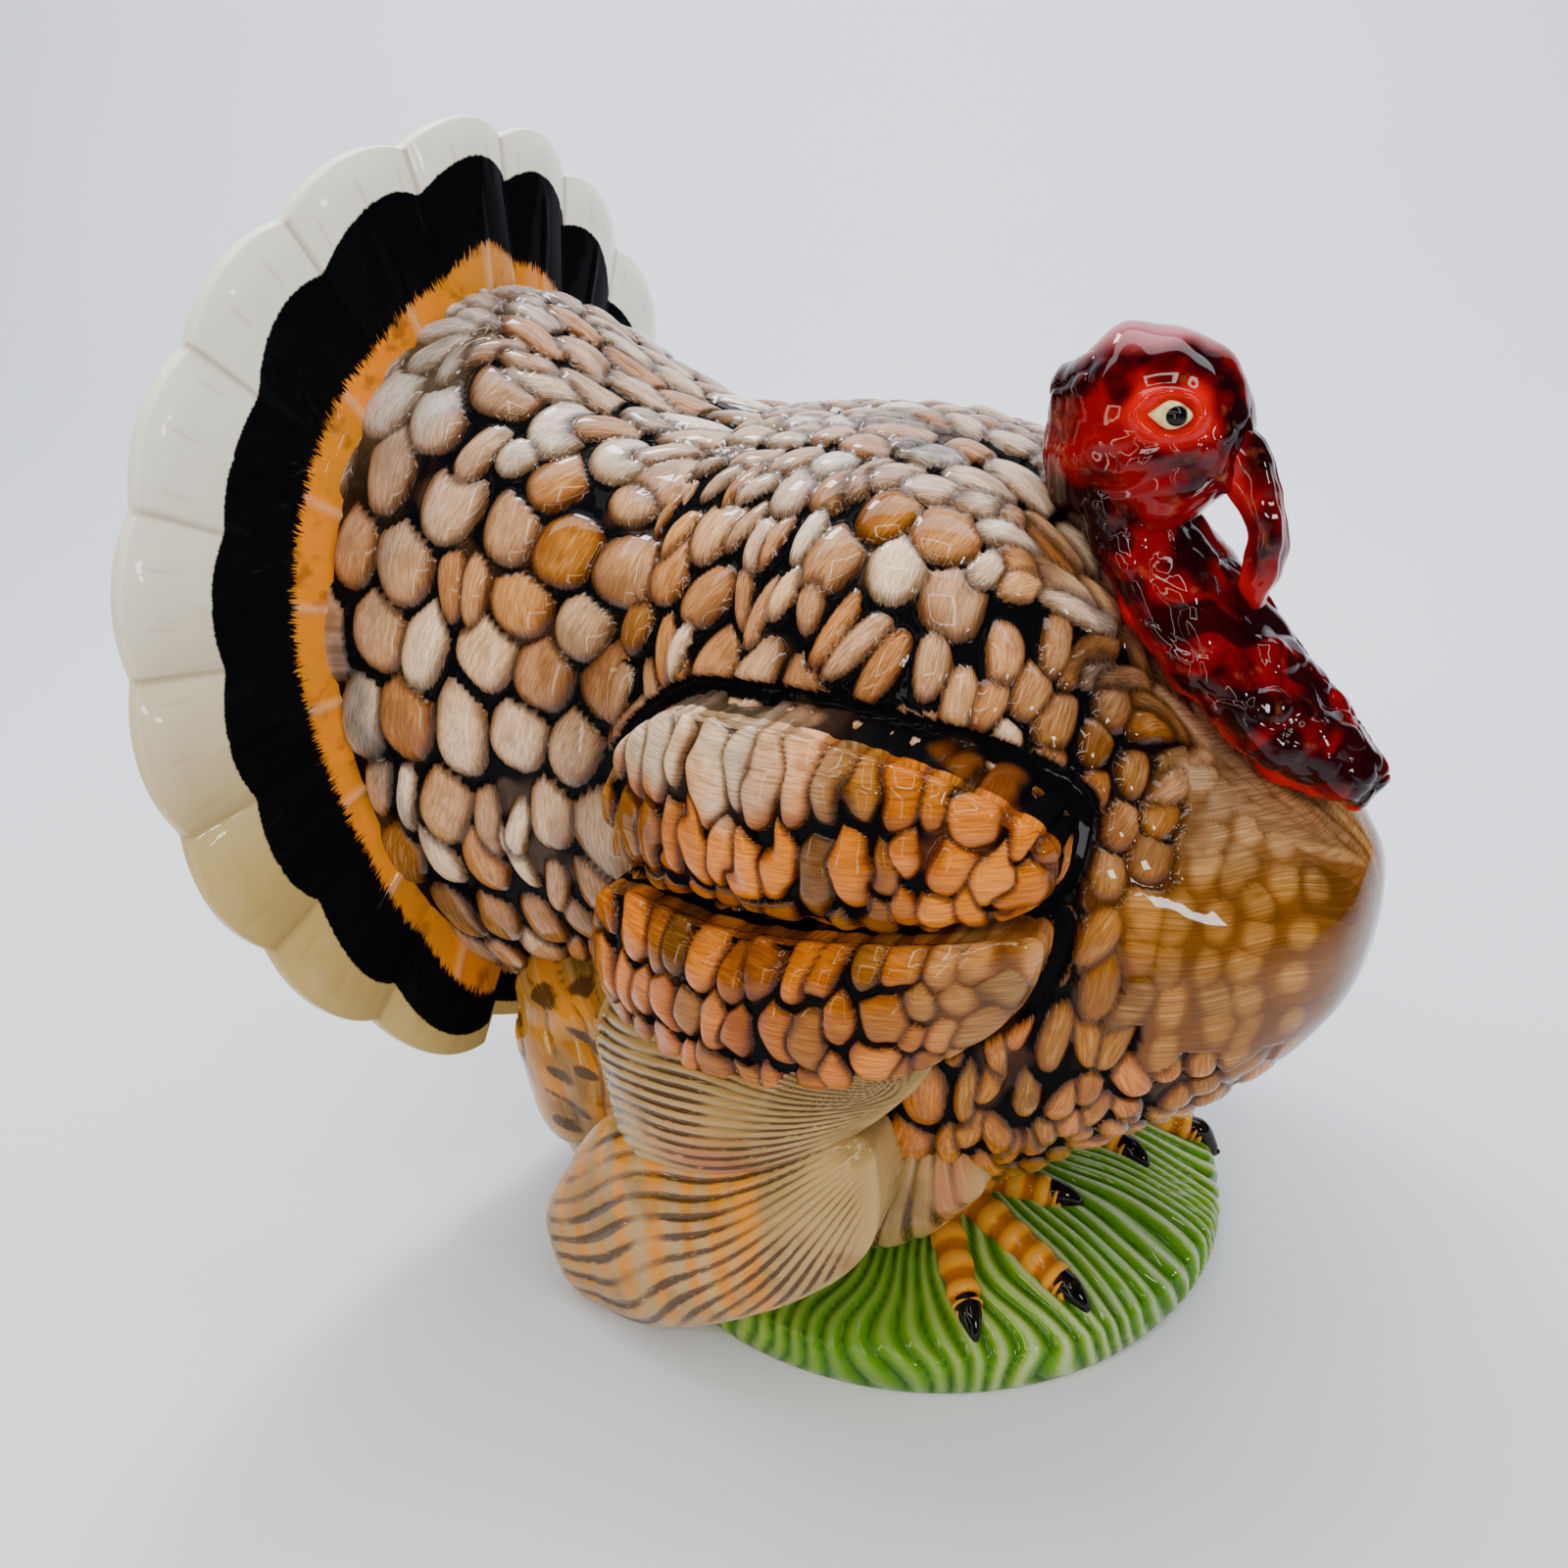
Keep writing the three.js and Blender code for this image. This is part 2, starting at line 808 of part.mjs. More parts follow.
function undertailForm() {
  const rings = undertailShares.map(([up, along, length, width]) => {
    const at = new THREE.Vector3(
      bodyLength * along - bodyRearReach,
      0,
      undertailClearance + undertailHeight * up,
    );
    return Array.from({ length: lobeSides }, (_, i) => {
      const turn = (2 * Math.PI * i) / lobeSides;
      const back = squared(Math.cos(turn), undertailSquarenessShare);
      const side = squared(Math.sin(turn), undertailSquarenessShare);
      return at.clone().add(new THREE.Vector3(
        undertailHalfLength * length * back,
        undertailHalfWidth * width * side,
        0,
      ));
    });
  });
  const foot = middleOf(rings[0]);
  foot[0].z = undertailClearance;
  const crown = middleOf(rings.at(-1));
  crown[0].z = undertailClearance + undertailHeight;
  return formOf(skinOver([foot, ...rings, crown]));
}

// Height of the mound's top at a place on it
const moundProfile = smoothTable([
  [0, moundTop],
  ...heights(moundDomeShares, moundEdgeHeight, moundDomeHeight).reverse(),
  ...heights(moundBrimShares, 0, moundEdgeHeight).reverse(),
]);

function moundHeight(x, y) {
  return moundProfile(Math.hypot(x / (moundLength / 2), y / (moundWidth / 2)))[0];
}

function onMound(x, y) {
  return new THREE.Vector3(x, y, moundHeight(x, y));
}

// A toe lies on the mound from the ankle outwards
function toePath(reach, toe) {
  const turn = THREE.MathUtils.degToRad(toeAngles[toe]);
  const length = toeLength * toeLengthShares[toe];
  return (share) => onMound(
    reach + Math.cos(turn) * length * share,
    -footSpread - Math.sin(turn) * length * share,
  );
}

function toeSkin(reach, toe) {
  const place = toePath(reach, toe);
  return sweptSkin(toeThicknessShares.map(([share, size]) => ({
    at: place(share),
    halfWidth: toeRadius * size,
    halfDepth: toeRadius * size,
  })), toeSides);
}

function footForm(reach) {
  const ankle = new THREE.SphereGeometry(ankleRadius, roundSides, roundSides / 2);
  ankle.translate(...onMound(reach, -footSpread).toArray());
  const skins = [ankle, ...toeAngles.map((_, toe) => toeSkin(reach, toe))];
  const join = (solids) => solids.reduce((sum, solid) => sum.add(solid));
  return {
    solid: join(skins.map(toSolid)),
    cutter: join(skins.map((skin) => toSolid(swollen(skin)))),
  };
}

// A claw is a pointed cone that runs on from the toe's end
function clawForm(reach, toe) {
  const place = toePath(reach, toe);
  const length = toeLength * toeLengthShares[toe];
  const span = clawLength / length;
  const stops = clawShares.map(([share, size]) => ({
    at: place(1 - span * (clawRootShare - share)),
    halfWidth: toeRadius * size,
    halfDepth: toeRadius * size,
  }));
  return formOf(sweptSkin(stops, clawSides));
}

function neckForm() {
  const stops = neckShares.map(([along, up, width, depth]) => ({
    at: bodyPoint([along, 0, up]),
    halfWidth: neckHalfWidth * width,
    halfDepth: neckHalfDepth * depth,
  }));
  return formOf(sweptSkin(stops, neckSides));
}

const headLow = bodyBottom + bodyHeight * headHeightShare;
const headRear = bodyLength * headRearShare - bodyRearReach;

function headPoint([along, side, up]) {
  return new THREE.Vector3(
    headRear + headLength * along,
    headHalfWidth * side,
    headLow + headHeight * up,
  );
}

function headForm() {
  const rings = headShares.map(([along, width, top, bottom]) => {
    const middle = (top + bottom) / 2;
    const reach = (top - bottom) / 2;
    return Array.from({ length: neckSides }, (_, i) => {
      const turn = (2 * Math.PI * i) / neckSides;
      return headPoint([along, width * Math.cos(turn), middle + reach * Math.sin(turn)]);
    });
  });
  const nape = [middleOf(rings[0])[0].setX(headPoint([0, 0, 0]).x)];
  const brow = [middleOf(rings.at(-1))[0].setX(headPoint([1, 0, 0]).x)];
  return formOf(skinOver([nape, ...rings, brow]));
}

function snoodForm() {
  const stops = snoodShares.map(([along, up, width, depth]) => ({
    at: headPoint([along, 0, up]),
    halfWidth: snoodHalfWidth * width,
    halfDepth: snoodHalfDepth * depth,
  }));
  return formOf(sweptSkin(stops, roundSides));
}

function eyeForm() {
  const eye = new THREE.SphereGeometry(1, roundSides, clawSides);
  eye.rotateX(Math.PI / 2);
  eye.scale(eyeLength / 2, eyeDepth / 2, eyeHeight / 2);
  const [along, side, up] = eyeShare;
  eye.translate(...headPoint([along, -side, up]).toArray());
  return formOf(eye);
}

// A named mesh of a solid, placed at its own middle
function piece(name, solid, glaze) {
  const geometry = fromSolid(solid);
  geometry.computeBoundingBox();
  const middle = geometry.boundingBox.getCenter(new THREE.Vector3());
  geometry.translate(-middle.x, -middle.y, -middle.z);
  const { color, roughness } = glazes[glaze];
  const material = new THREE.MeshStandardMaterial({ color, roughness, metalness: 0 });
  const mesh = new THREE.Mesh(geometry, material);
  mesh.name = name;
  mesh.position.copy(middle);
  return mesh;
}

const body = bodyForm();
const mound = moundForm();
const fan = toSolid(fanSkin(fanThickness, fanEdgeThickness, stepsPerFeather));
const fanClearance = fanRoom();
const cover = coverForm();
const undertail = undertailForm();
const neck = neckForm();
const head = headForm();
const eye = eyeForm();
const snood = snoodForm();

const drain = bar(
  new THREE.Vector3(drainHoleOffset, 0, -overrun),
  new THREE.Vector3(drainHoleOffset, 0, bodyMiddle),
  drainHoleRadius,
);

// Casting of the middle: mound, body, tail and head
function middlePieces() {
  const group = new THREE.Group();
  group.add(
    piece("grass_mound", seated(mound.solid, [body]).subtract(moundHollow()).subtract(drain),
      "grass"),
    piece("body", seated(body.solid.subtract(bodyCavity()).subtract(drain), []), "plumage"),
    piece("tail_coverts", seated(cover.solid, [fanClearance]), "rump"),
    piece("tail_fan", fan, "tailBands"),
    piece("undertail", seated(undertail.solid, [body, cover, fanClearance, mound]), "undertail"),
    piece("neck", seated(neck.solid, [body, head]), "wattle"),
    piece("head", seated(head.solid, [body, eye, mirrored(eye)]), "wattle"),
    piece("snood", seated(snood.solid, [head, neck]), "wattle"),
  );
  return group;
}

function mirrored(form) {
  return { cutter: form.cutter.mirror([0, 1, 0]) };
}

// One side of the bird: wing, thigh, foot, claws and eye
function sidePieces(side, footReach) {
  const group = new THREE.Group();
  const shoulder = lobeForm(shoulderOutlineShares, shoulderRise);
  const covert = lobeForm(covertOutlineShares, covertRise);
  const secondary = lobeForm(secondaryOutlineShares, secondaryRise);
  const primary = lobeForm(primaryOutlineShares, primaryRise);
  const thigh = lobeForm(thighOutlineShares, thighRise, () => thighSide);
  const foot = footForm(footReach);
  const trunk = [body, cover, undertail, mound];
  group.add(
    piece(`${side}_wing_shoulder`, seated(shoulder.solid, trunk), "wingAmber"),
    piece(`${side}_wing_coverts`, seated(covert.solid, [...trunk, shoulder]), "wingAmber"),
    piece(`${side}_wing_secondaries`, seated(secondary.solid, [...trunk, covert]), "wingTan"),
    piece(`${side}_wing_primaries`,
      seated(primary.solid, [...trunk, covert, secondary, thigh]), "wingTan"),
    piece(`${side}_thigh`, seated(thigh.solid, [body, mound, covert, secondary]), "thigh"),
    piece(`${side}_foot`, seated(foot.solid, [mound, body, thigh]), "toe"),
    piece(`${side}_eye`, eye.solid, "eye"),
  );
  ["inner", "middle", "outer"].forEach((toe, i) => {
    const claw = seated(clawForm(footReach, i).solid, [mound, foot]);
    group.add(piece(`${side}_${toe}_claw`, claw, "claw"));
  });
  return group;
}

const turkey = new THREE.Group();
const rightSide = sidePieces("right", rightFootReach);
const leftSide = sidePieces("left", leftFootReach);
leftSide.scale.y = -1;
turkey.add(middlePieces(), rightSide, leftSide);

export default turkey;
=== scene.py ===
"""Looks of a glazed ceramic turkey figure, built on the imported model's frame.

Every piece starts as a closed ball of rings whose vertices are moved onto the form,
carved with feathers, ribs or bumps, and painted through attributes that the glazes read.
Lengths in the tables and size fields are millimetres, and angles are degrees.
"""

import logging
import math
from collections.abc import Callable, Sequence
from dataclasses import dataclass
from enum import Enum

import bmesh
import bpy
import numpy as np
from mathutils import Matrix, Vector


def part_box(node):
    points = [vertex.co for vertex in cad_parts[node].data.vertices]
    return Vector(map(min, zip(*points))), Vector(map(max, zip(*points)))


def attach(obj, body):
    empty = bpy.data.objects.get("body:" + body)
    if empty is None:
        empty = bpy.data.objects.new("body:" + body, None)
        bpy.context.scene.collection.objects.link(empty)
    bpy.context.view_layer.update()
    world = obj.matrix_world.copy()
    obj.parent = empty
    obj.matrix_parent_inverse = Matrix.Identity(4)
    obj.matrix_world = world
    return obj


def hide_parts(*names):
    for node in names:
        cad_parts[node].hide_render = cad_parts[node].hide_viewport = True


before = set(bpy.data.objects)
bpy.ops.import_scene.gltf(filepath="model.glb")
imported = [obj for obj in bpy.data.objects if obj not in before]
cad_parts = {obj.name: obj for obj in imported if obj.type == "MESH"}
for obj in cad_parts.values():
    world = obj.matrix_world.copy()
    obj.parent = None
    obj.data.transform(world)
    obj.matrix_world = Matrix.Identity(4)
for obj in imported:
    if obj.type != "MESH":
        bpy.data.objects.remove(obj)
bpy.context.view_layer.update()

LOG = logging.getLogger("turkey")
MM = 0.001
SEED = 11
RIPPLE_WAVES = 7
RIPPLE_REACH = 3.2
FAR_OUTSIDE = -1.5
MOST_LEAD = 3.0

Array = np.ndarray
Material = bpy.types.Material
Piece = bpy.types.Object
Rows = Sequence[Sequence[float]]
Socket = bpy.types.NodeSocket
Triple = tuple[float, float, float]

# The body from its waist to its breast: share of length, half width, top, bottom
BODY_SHARES = (
    (0, 0.875, 0.986, 0.2), (0.115, 0.925, 0.995, 0.098), (0.23, 0.975, 1, 0.042),
    (0.374, 1, 0.995, 0), (0.517, 0.985, 0.949, 0.033), (0.621, 0.935, 0.865, 0.107),
    (0.724, 0.835, 0.758, 0.181), (0.816, 0.71, 0.674, 0.237), (0.897, 0.56, 0.619, 0.298),
    (0.954, 0.39, 0.577, 0.358), (0.989, 0.21, 0.54, 0.414), (1, 0, 0.484, 0.484),
)

# Where the smooth breast begins: height, and how far forward
BREAST_LINE = ((60, 120), (90, 106), (112, 92), (136, 75), (165, 80), (190, 86))

# The coverts' flare: share of the way to the fan, and share of the flare
COVER_EASE = ((0, 0), (0.2, 0.08), (0.4, 0.32), (0.6, 0.72), (0.8, 1), (1, 1.04))

# How deep the fan is corrugated: share of its outline, and share of the relief
FAN_RELIEF = ((0, 0), (0.5, 0), (0.68, 0.1), (0.8, 0.55), (0.9, 0.9), (0.97, 1), (1, 0.75))

# Rows of the fan's skin, from the middle of its front to the middle of its back: fall on the
# ball, then share of the outline, and where and how far the rim has turned to the back
FAN_ROWS = ((0, 0.04, 0.6, 0.665, 0.695, 0.76, 0.96, 1), (0, 0.45, 0.97, 1, 1, 0.97, 0.45, 0))
FAN_RIM = ((0.6, 0.66, 0.7, 0.76), (0, 0, 1, 1))

# Painted borders of the fan: angle from its top, then the shares of its outline where ivory
# meets black and where black meets orange
FAN_BORDERS = (
    (0, 0.932, 0.775), (12, 0.923, 0.735), (25, 0.9, 0.705), (38, 0.878, 0.69), (50, 0.84, 0.672),
    (65, 0.834, 0.656), (82, 0.829, 0.647), (96, 0.842, 0.647), (111, 0.854, 0.665),
    (121, 0.868, 0.695), (132, 0.909, 0.75), (142, 0.942, 0.81), (150, 0.957, 0.86),
    (180, 0.96, 0.9),
)

# Outlines in the side view, as shares of the body's length and height
SHOULDER_OUTLINE = (
    (0.02, 0.597), (0.066, 0.699), (0.141, 0.757), (0.219, 0.782), (0.396, 0.786), (0.563, 0.764),
    (0.672, 0.716), (0.712, 0.664), (0.672, 0.6), (0.424, 0.558), (0.25, 0.55), (0.114, 0.535),
)
COVERT_OUTLINE = (
    (-0.01, 0.479), (0.05, 0.535), (0.278, 0.548), (0.541, 0.585), (0.68, 0.6),
    (0.705, 0.56), (0.662, 0.483), (0.509, 0.393), (0.358, 0.337), (0.245, 0.322),
    (0.136, 0.316), (0.026, 0.338), (-0.023, 0.392),
)
SECONDARY_OUTLINE = (
    (-0.028, 0.31), (-0.019, 0.254), (0.033, 0.166), (0.115, 0.16), (0.239, 0.192),
    (0.353, 0.242), (0.491, 0.339), (0.56, 0.42), (0.504, 0.46), (0.178, 0.41), (0.02, 0.37),
)
PRIMARY_OUTLINE = (
    (-0.101, 0.073), (-0.132, 0), (-0.086, -0.076), (0.004, -0.09), (0.136, -0.055),
    (0.358, 0.065), (0.48, 0.167), (0.49, 0.26), (0.44, 0.31), (0.2, 0.25), (0, 0.19),
)
THIGH_OUTLINE = (
    (0.38, 0.023), (0.483, 0.079), (0.54, 0.135), (0.58, 0.19), (0.54, 0.251),
    (0.46, 0.265), (0.405, 0.225), (0.372, 0.13), (0.362, 0.06),
)

# Feathered layers of a wing: name, outline, rise, then column, row and seed of the feathers
FEATHERED_LAYERS = (
    ("shoulder", SHOULDER_OUTLINE, 12, 8.0, 22.0, 31),
    ("coverts", COVERT_OUTLINE, 16, 8.8, 17.0, 41),
)

# Ribbed layers: name, outline, rise, where the ribs meet, degrees a rib and a fixed half width
RIBBED_LAYERS = (
    ("secondaries", SECONDARY_OUTLINE, 13, (58.0, 108.0), 2.15, None),
    ("primaries", PRIMARY_OUTLINE, 12, (46.0, 100.0), 2.9, None),
    ("thigh", THIGH_OUTLINE, 9, (38.0, 96.0), 9.0, 61.0),
)

# Amber bars on the primaries: place along the figure, and half width
PRIMARY_BARS = (
    (-66, 2.2), (-58, 2.6), (-49, 2.0), (-39, 3.2), (-25, 3.4), (-12, 2.0), (-2, 3.0), (7, 3.6),
)

# The undertail from its foot: share of height, place, half length, half width
UNDERTAIL_SHARES = (
    (0, -0.13, 0.2, 0.3), (0.06, -0.13, 0.62, 0.72), (0.2, -0.14, 0.86, 0.92), (0.45, -0.145, 1, 1),
    (0.75, -0.15, 1, 0.98), (0.94, -0.15, 0.75, 0.8), (1, -0.15, 0.4, 0.5),
)

# The neck from the head down: place along the body, height, half width and depth
NECK_SHARES = (
    (0.622, 0.94, 0.62, 0.8), (0.672, 0.862, 0.7, 0.88), (0.735, 0.804, 0.76, 0.92),
    (0.799, 0.75, 0.78, 0.88), (0.857, 0.706, 0.7, 0.86), (0.91, 0.668, 0.5, 0.76),
    (0.95, 0.648, 0.34, 0.55), (0.966, 0.636, 0.2, 0.4),
)

# The head from its rear: share of length, half width, top, bottom
HEAD_SHARES = (
    (0, 0.02, 0.46, 0.42), (0.04, 0.35, 0.68, 0.2), (0.16, 0.68, 0.86, 0.08),
    (0.34, 0.93, 0.98, 0.02), (0.56, 1, 1, 0.02), (0.76, 0.9, 0.94, 0.14), (0.9, 0.68, 0.82, 0.29),
    (0.97, 0.4, 0.7, 0.36), (1, 0.02, 0.58, 0.54),
)

# The snood from the brow down: place along the head, height, half width and depth
SNOOD_SHARES = (
    (0.8, 0.57, 1, 1.4), (0.93, 0.45, 1, 1.5), (1.015, 0.345, 1, 1.15), (1.08, 0.21, 1, 0.95),
    (1.09, 0.07, 1, 0.95), (1.07, -0.06, 0.9, 0.85), (1.075, -0.16, 0.5, 0.45),
)


class Tint(Enum):
    """Colours of the paints under the glaze, as they look in white light."""

    INK = (9, 10, 12)
    SLATE = (96, 100, 108)
    # Grey-white of grey feathers, which also serves as painted sheen along the top of the back and
    # the flare
    MIST = (208, 208, 206)
    CREAM = (236, 212, 182)
    PINK = (216, 166, 126)
    PEACH = (208, 134, 70)
    AMBER = (208, 128, 12)
    HONEY = (196, 104, 0)
    BROWN = (132, 78, 26)
    OLIVE = (120, 88, 34)
    SAND = (184, 150, 96)
    TAN = (146, 114, 62)
    UMBER = (70, 46, 22)
    BLUSH = (168, 84, 52)
    IVORY = (238, 236, 220)
    BUTTER = (184, 158, 96)
    ORANGE = (232, 132, 10)
    BREAST = (170, 116, 50)
    DUSK = (176, 144, 112)
    STRAW = (232, 188, 128)
    PARCHMENT = (224, 206, 150)
    RUBY = (126, 6, 10)
    MAROON = (26, 1, 4)
    SCARLET = (196, 10, 8)
    # Painted sheen of the crown, where the glaze mirrors the bright room
    ROSE_SHEEN = (206, 110, 122)
    GRASS = (76, 128, 10)
    MOSS = (26, 62, 4)
    LIME = (160, 188, 60)
    TOE = (224, 146, 14)
    RUST = (150, 74, 4)

    @property
    def linear(self) -> Array:
        """The colour as linear red, green and blue."""
        share = np.array(self.value) / 255.0
        return np.where(share <= 0.04045, share / 12.92, ((share + 0.055) / 1.055) ** 2.4)

    @property
    def rgba(self) -> tuple[float, float, float, float]:
        """The linear colour with full alpha."""
        return (*self.linear.tolist(), 1.0)


def smoothstep(low: float, high: float, value: Array) -> Array:
    """A soft step from 0 at low to 1 at high."""
    share = np.clip((value - low) / (high - low), 0.0, 1.0)
    return share * share * (3.0 - 2.0 * share)


def bell(value: Array, middle: float, width: float) -> Array:
    """A bell curve that is 1 at its middle."""
    return np.exp(-(((value - middle) / width) ** 2))


def rib(span: Array) -> Array:
    """Place across ribs that are one apart: -1 and 1 in the valleys, 0 on the crests."""
    return 2 * (span - np.round(span))


def fuller(value: Array, power: float) -> Array:
    """Sines or cosines drawn out by a power, so that an oval grows squarer."""
    return np.sign(value) * np.abs(value) ** power


def coats(base: Array, *layers: tuple[Tint, Array]) -> Array:
    """Colours after further coats of paint.

    Args:
        base: Linear colours.
        layers: A tint and how far it covers each point, from 0 to 1, coat by coat.

    Returns:
        Linear colours.
    """
    for tint, share in layers:
        base = blend(base, tint.linear, share)
    return base


def read_table(rows: Rows, keys: Array) -> Array:
    """Smooth reading of a table by its first column.

    Args:
        rows: Rows of a key and its values, with rising keys.
        keys: Where the table is read.

    Returns:
        One array a column of values, each shaped like the keys.
    """
    grid = np.asarray(rows, float)
    places, values = grid[:, 0], grid[:, 1:]
    slopes = np.gradient(values, places, axis=0)
    keys = np.clip(keys, places[0], places[-1])
    low = np.clip(np.searchsorted(places, keys, side="right") - 1, 0, len(places) - 2)
    span = (places[low + 1] - places[low])[..., None]
    share = (keys - places[low])[..., None] / span
    square, cube = share**2, share**3
    result = (
        (2 * cube - 3 * square + 1) * values[low]
        + (cube - 2 * square + share) * span * slopes[low]
        + (3 * square - 2 * cube) * values[low + 1]
        + (cube - square) * span * slopes[low + 1]
    )
    return np.moveaxis(result, -1, 0)


def unit(vectors: Array) -> Array:
    """Vectors scaled to a length of one."""
    return vectors / np.maximum(np.linalg.norm(vectors, axis=-1, keepdims=True), 1e-9)


def blend(first: Array, second: Array, share: Array) -> Array:
    """Colours or vectors mixed by a share per point."""
    return first + (second - first) * np.asarray(share)[..., None]


def ripple(points: Array, size: float, seed: int) -> Array:
    """Smooth noise from a few sine waves.

    Args:
        points: Points in millimetres.
        size: Rough size of its features.
        seed: Chooses the waves.

    Returns:
        Values from about -1 to 1.
    """
    rng = np.random.default_rng(seed)
    total = np.zeros(len(points))
    for _ in range(RIPPLE_WAVES):
        wave = rng.normal(size=3)
        wave *= 2 * math.pi / (size * np.linalg.norm(wave) * rng.uniform(0.7, 1.6))
        total += np.sin(points @ wave + rng.uniform(0, 2 * math.pi))
    return total / RIPPLE_REACH


class Skin:
    """A closed mesh on its way from a ball of rings to a finished piece."""

    def __init__(self, name: str, around: int, down: int) -> None:
        """Make the ball and keep each vertex's turn and fall on it.

        Args:
            name: Name of the piece.
            around: Columns round the poles.
            down: Rows from pole to pole.
        """
        self.mesh = bpy.data.meshes.new(name)
        grid = bmesh.new()
        bmesh.ops.create_cone(
            grid, cap_ends=True, cap_tris=True, segments=around, radius1=1, radius2=1, depth=2,
        )
        lines = [edge for edge in grid.edges if abs(edge.verts[0].co.z - edge.verts[1].co.z) > 1]
        bmesh.ops.subdivide_edges(grid, edges=lines, cuts=down - 3, use_grid_fill=True)
        grid.to_mesh(self.mesh)
        grid.free()
        x, y, z = self._read().T
        turn = np.arctan2(y, x)
        ring = (1 + (1 - z) / 2 * (down - 2)) / down
        self.turn = np.degrees(turn)
        self.fall = np.where(np.hypot(x, y) < 0.5, (1 - z) / 2, ring)
        arc = self.fall * math.pi
        self.points = np.stack(
            [np.sin(arc) * np.cos(turn), np.sin(arc) * np.sin(turn), np.cos(arc)], 1
        )

    def _read(self) -> Array:
        """Read the mesh's vertices.

        Returns:
            Rows of x, y and z in metres.
        """
        flat = np.empty(len(self.mesh.vertices) * 3)
        self.mesh.vertices.foreach_get("co", flat)
        return flat.reshape(-1, 3)

    def place(self, points: Array) -> "Skin":
        """Move the vertices.

        Args:
            points: Their places in millimetres.

        Returns:
            The skin.
        """
        self.points = points
        self.mesh.vertices.foreach_set("co", (points * MM).ravel())
        self.mesh.update()
        return self

    def normals(self) -> Array:
        """Outward normals at the vertices.

        Returns:
            Rows of unit vectors.
        """
        self._face_out()
        flat = np.empty(len(self.mesh.vertices) * 3)
        self.mesh.vertex_normals.foreach_get("vector", flat)
        return flat.reshape(-1, 3)

    def carve(self, depth: Array) -> "Skin":
        """Move the vertices outwards by a depth in millimetres each."""
        return self.place(self.points + self.normals() * depth[:, None])

    def note(self, name: str, values: Array) -> "Skin":
        """Keep a number or a vector at each vertex for the material.

        Args:
            name: Name of the attribute.
            values: One number or vector a vertex.

        Returns:
            The skin.
        """
        kind, key = ("FLOAT", "value") if values.ndim == 1 else ("FLOAT_VECTOR", "vector")
        layer = self.mesh.attributes.new(name, kind, "POINT")
        layer.data.foreach_set(key, np.ascontiguousarray(values, np.float32).ravel())
        return self

    def paint(self, colours: Array, name: str = "paint") -> "Skin":
        """Keep a colour at each vertex for the material.

        Args:
            colours: Linear colours, or one for the whole skin.
            name: Name of the attribute.

        Returns:
            The skin.
        """
        layer = self.mesh.attributes.new(name, "FLOAT_COLOR", "POINT")
        full = np.ones((len(self.points), 4), np.float32)
        full[:, :3] = np.clip(colours, 0.0, 1.0)
        layer.data.foreach_set("color", full.ravel())
        return self

    def mirror(self) -> "Skin":
        """Turn a right-hand form into a left-hand one."""
        return self.place(self.points * np.array([1.0, -1.0, 1.0]))

    def _face_out(self) -> None:
        """Turn the faces over if they look inwards."""
        self.mesh.calc_loop_triangles()
        flat = np.empty(len(self.mesh.loop_triangles) * 3, np.int64)
        self.mesh.loop_triangles.foreach_get("vertices", flat)
        a, b, c = self.points[flat.reshape(-1, 3)].transpose(1, 0, 2)
        if np.einsum("ij,ij->", a, np.cross(b, c)) < 0:
            self.mesh.flip_normals()

    def finish(self, material: Material, slot: str, *nodes: str) -> Piece:
        """Turn the skin into a piece of the object.

        Args:
            material: Its glaze.
            slot: Not used.
            nodes: The CAD nodes it stands for.

        Returns:
            The finished object.
        """
        self._face_out()
        self.mesh.shade_smooth()
        self.mesh.materials.append(material)
        piece = bpy.data.objects.new(self.mesh.name, self.mesh)
        bpy.context.collection.objects.link(piece)
        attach(piece, "root")
        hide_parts(*nodes)
        LOG.info("%s: %d faces", piece.name, len(self.mesh.polygons))
        return piece


@dataclass(frozen=True)
class Reading:
    """What a field of feathers says at each point."""

    inside: Array
    lead: Array
    along: Array
    across: Array
    owner: Array


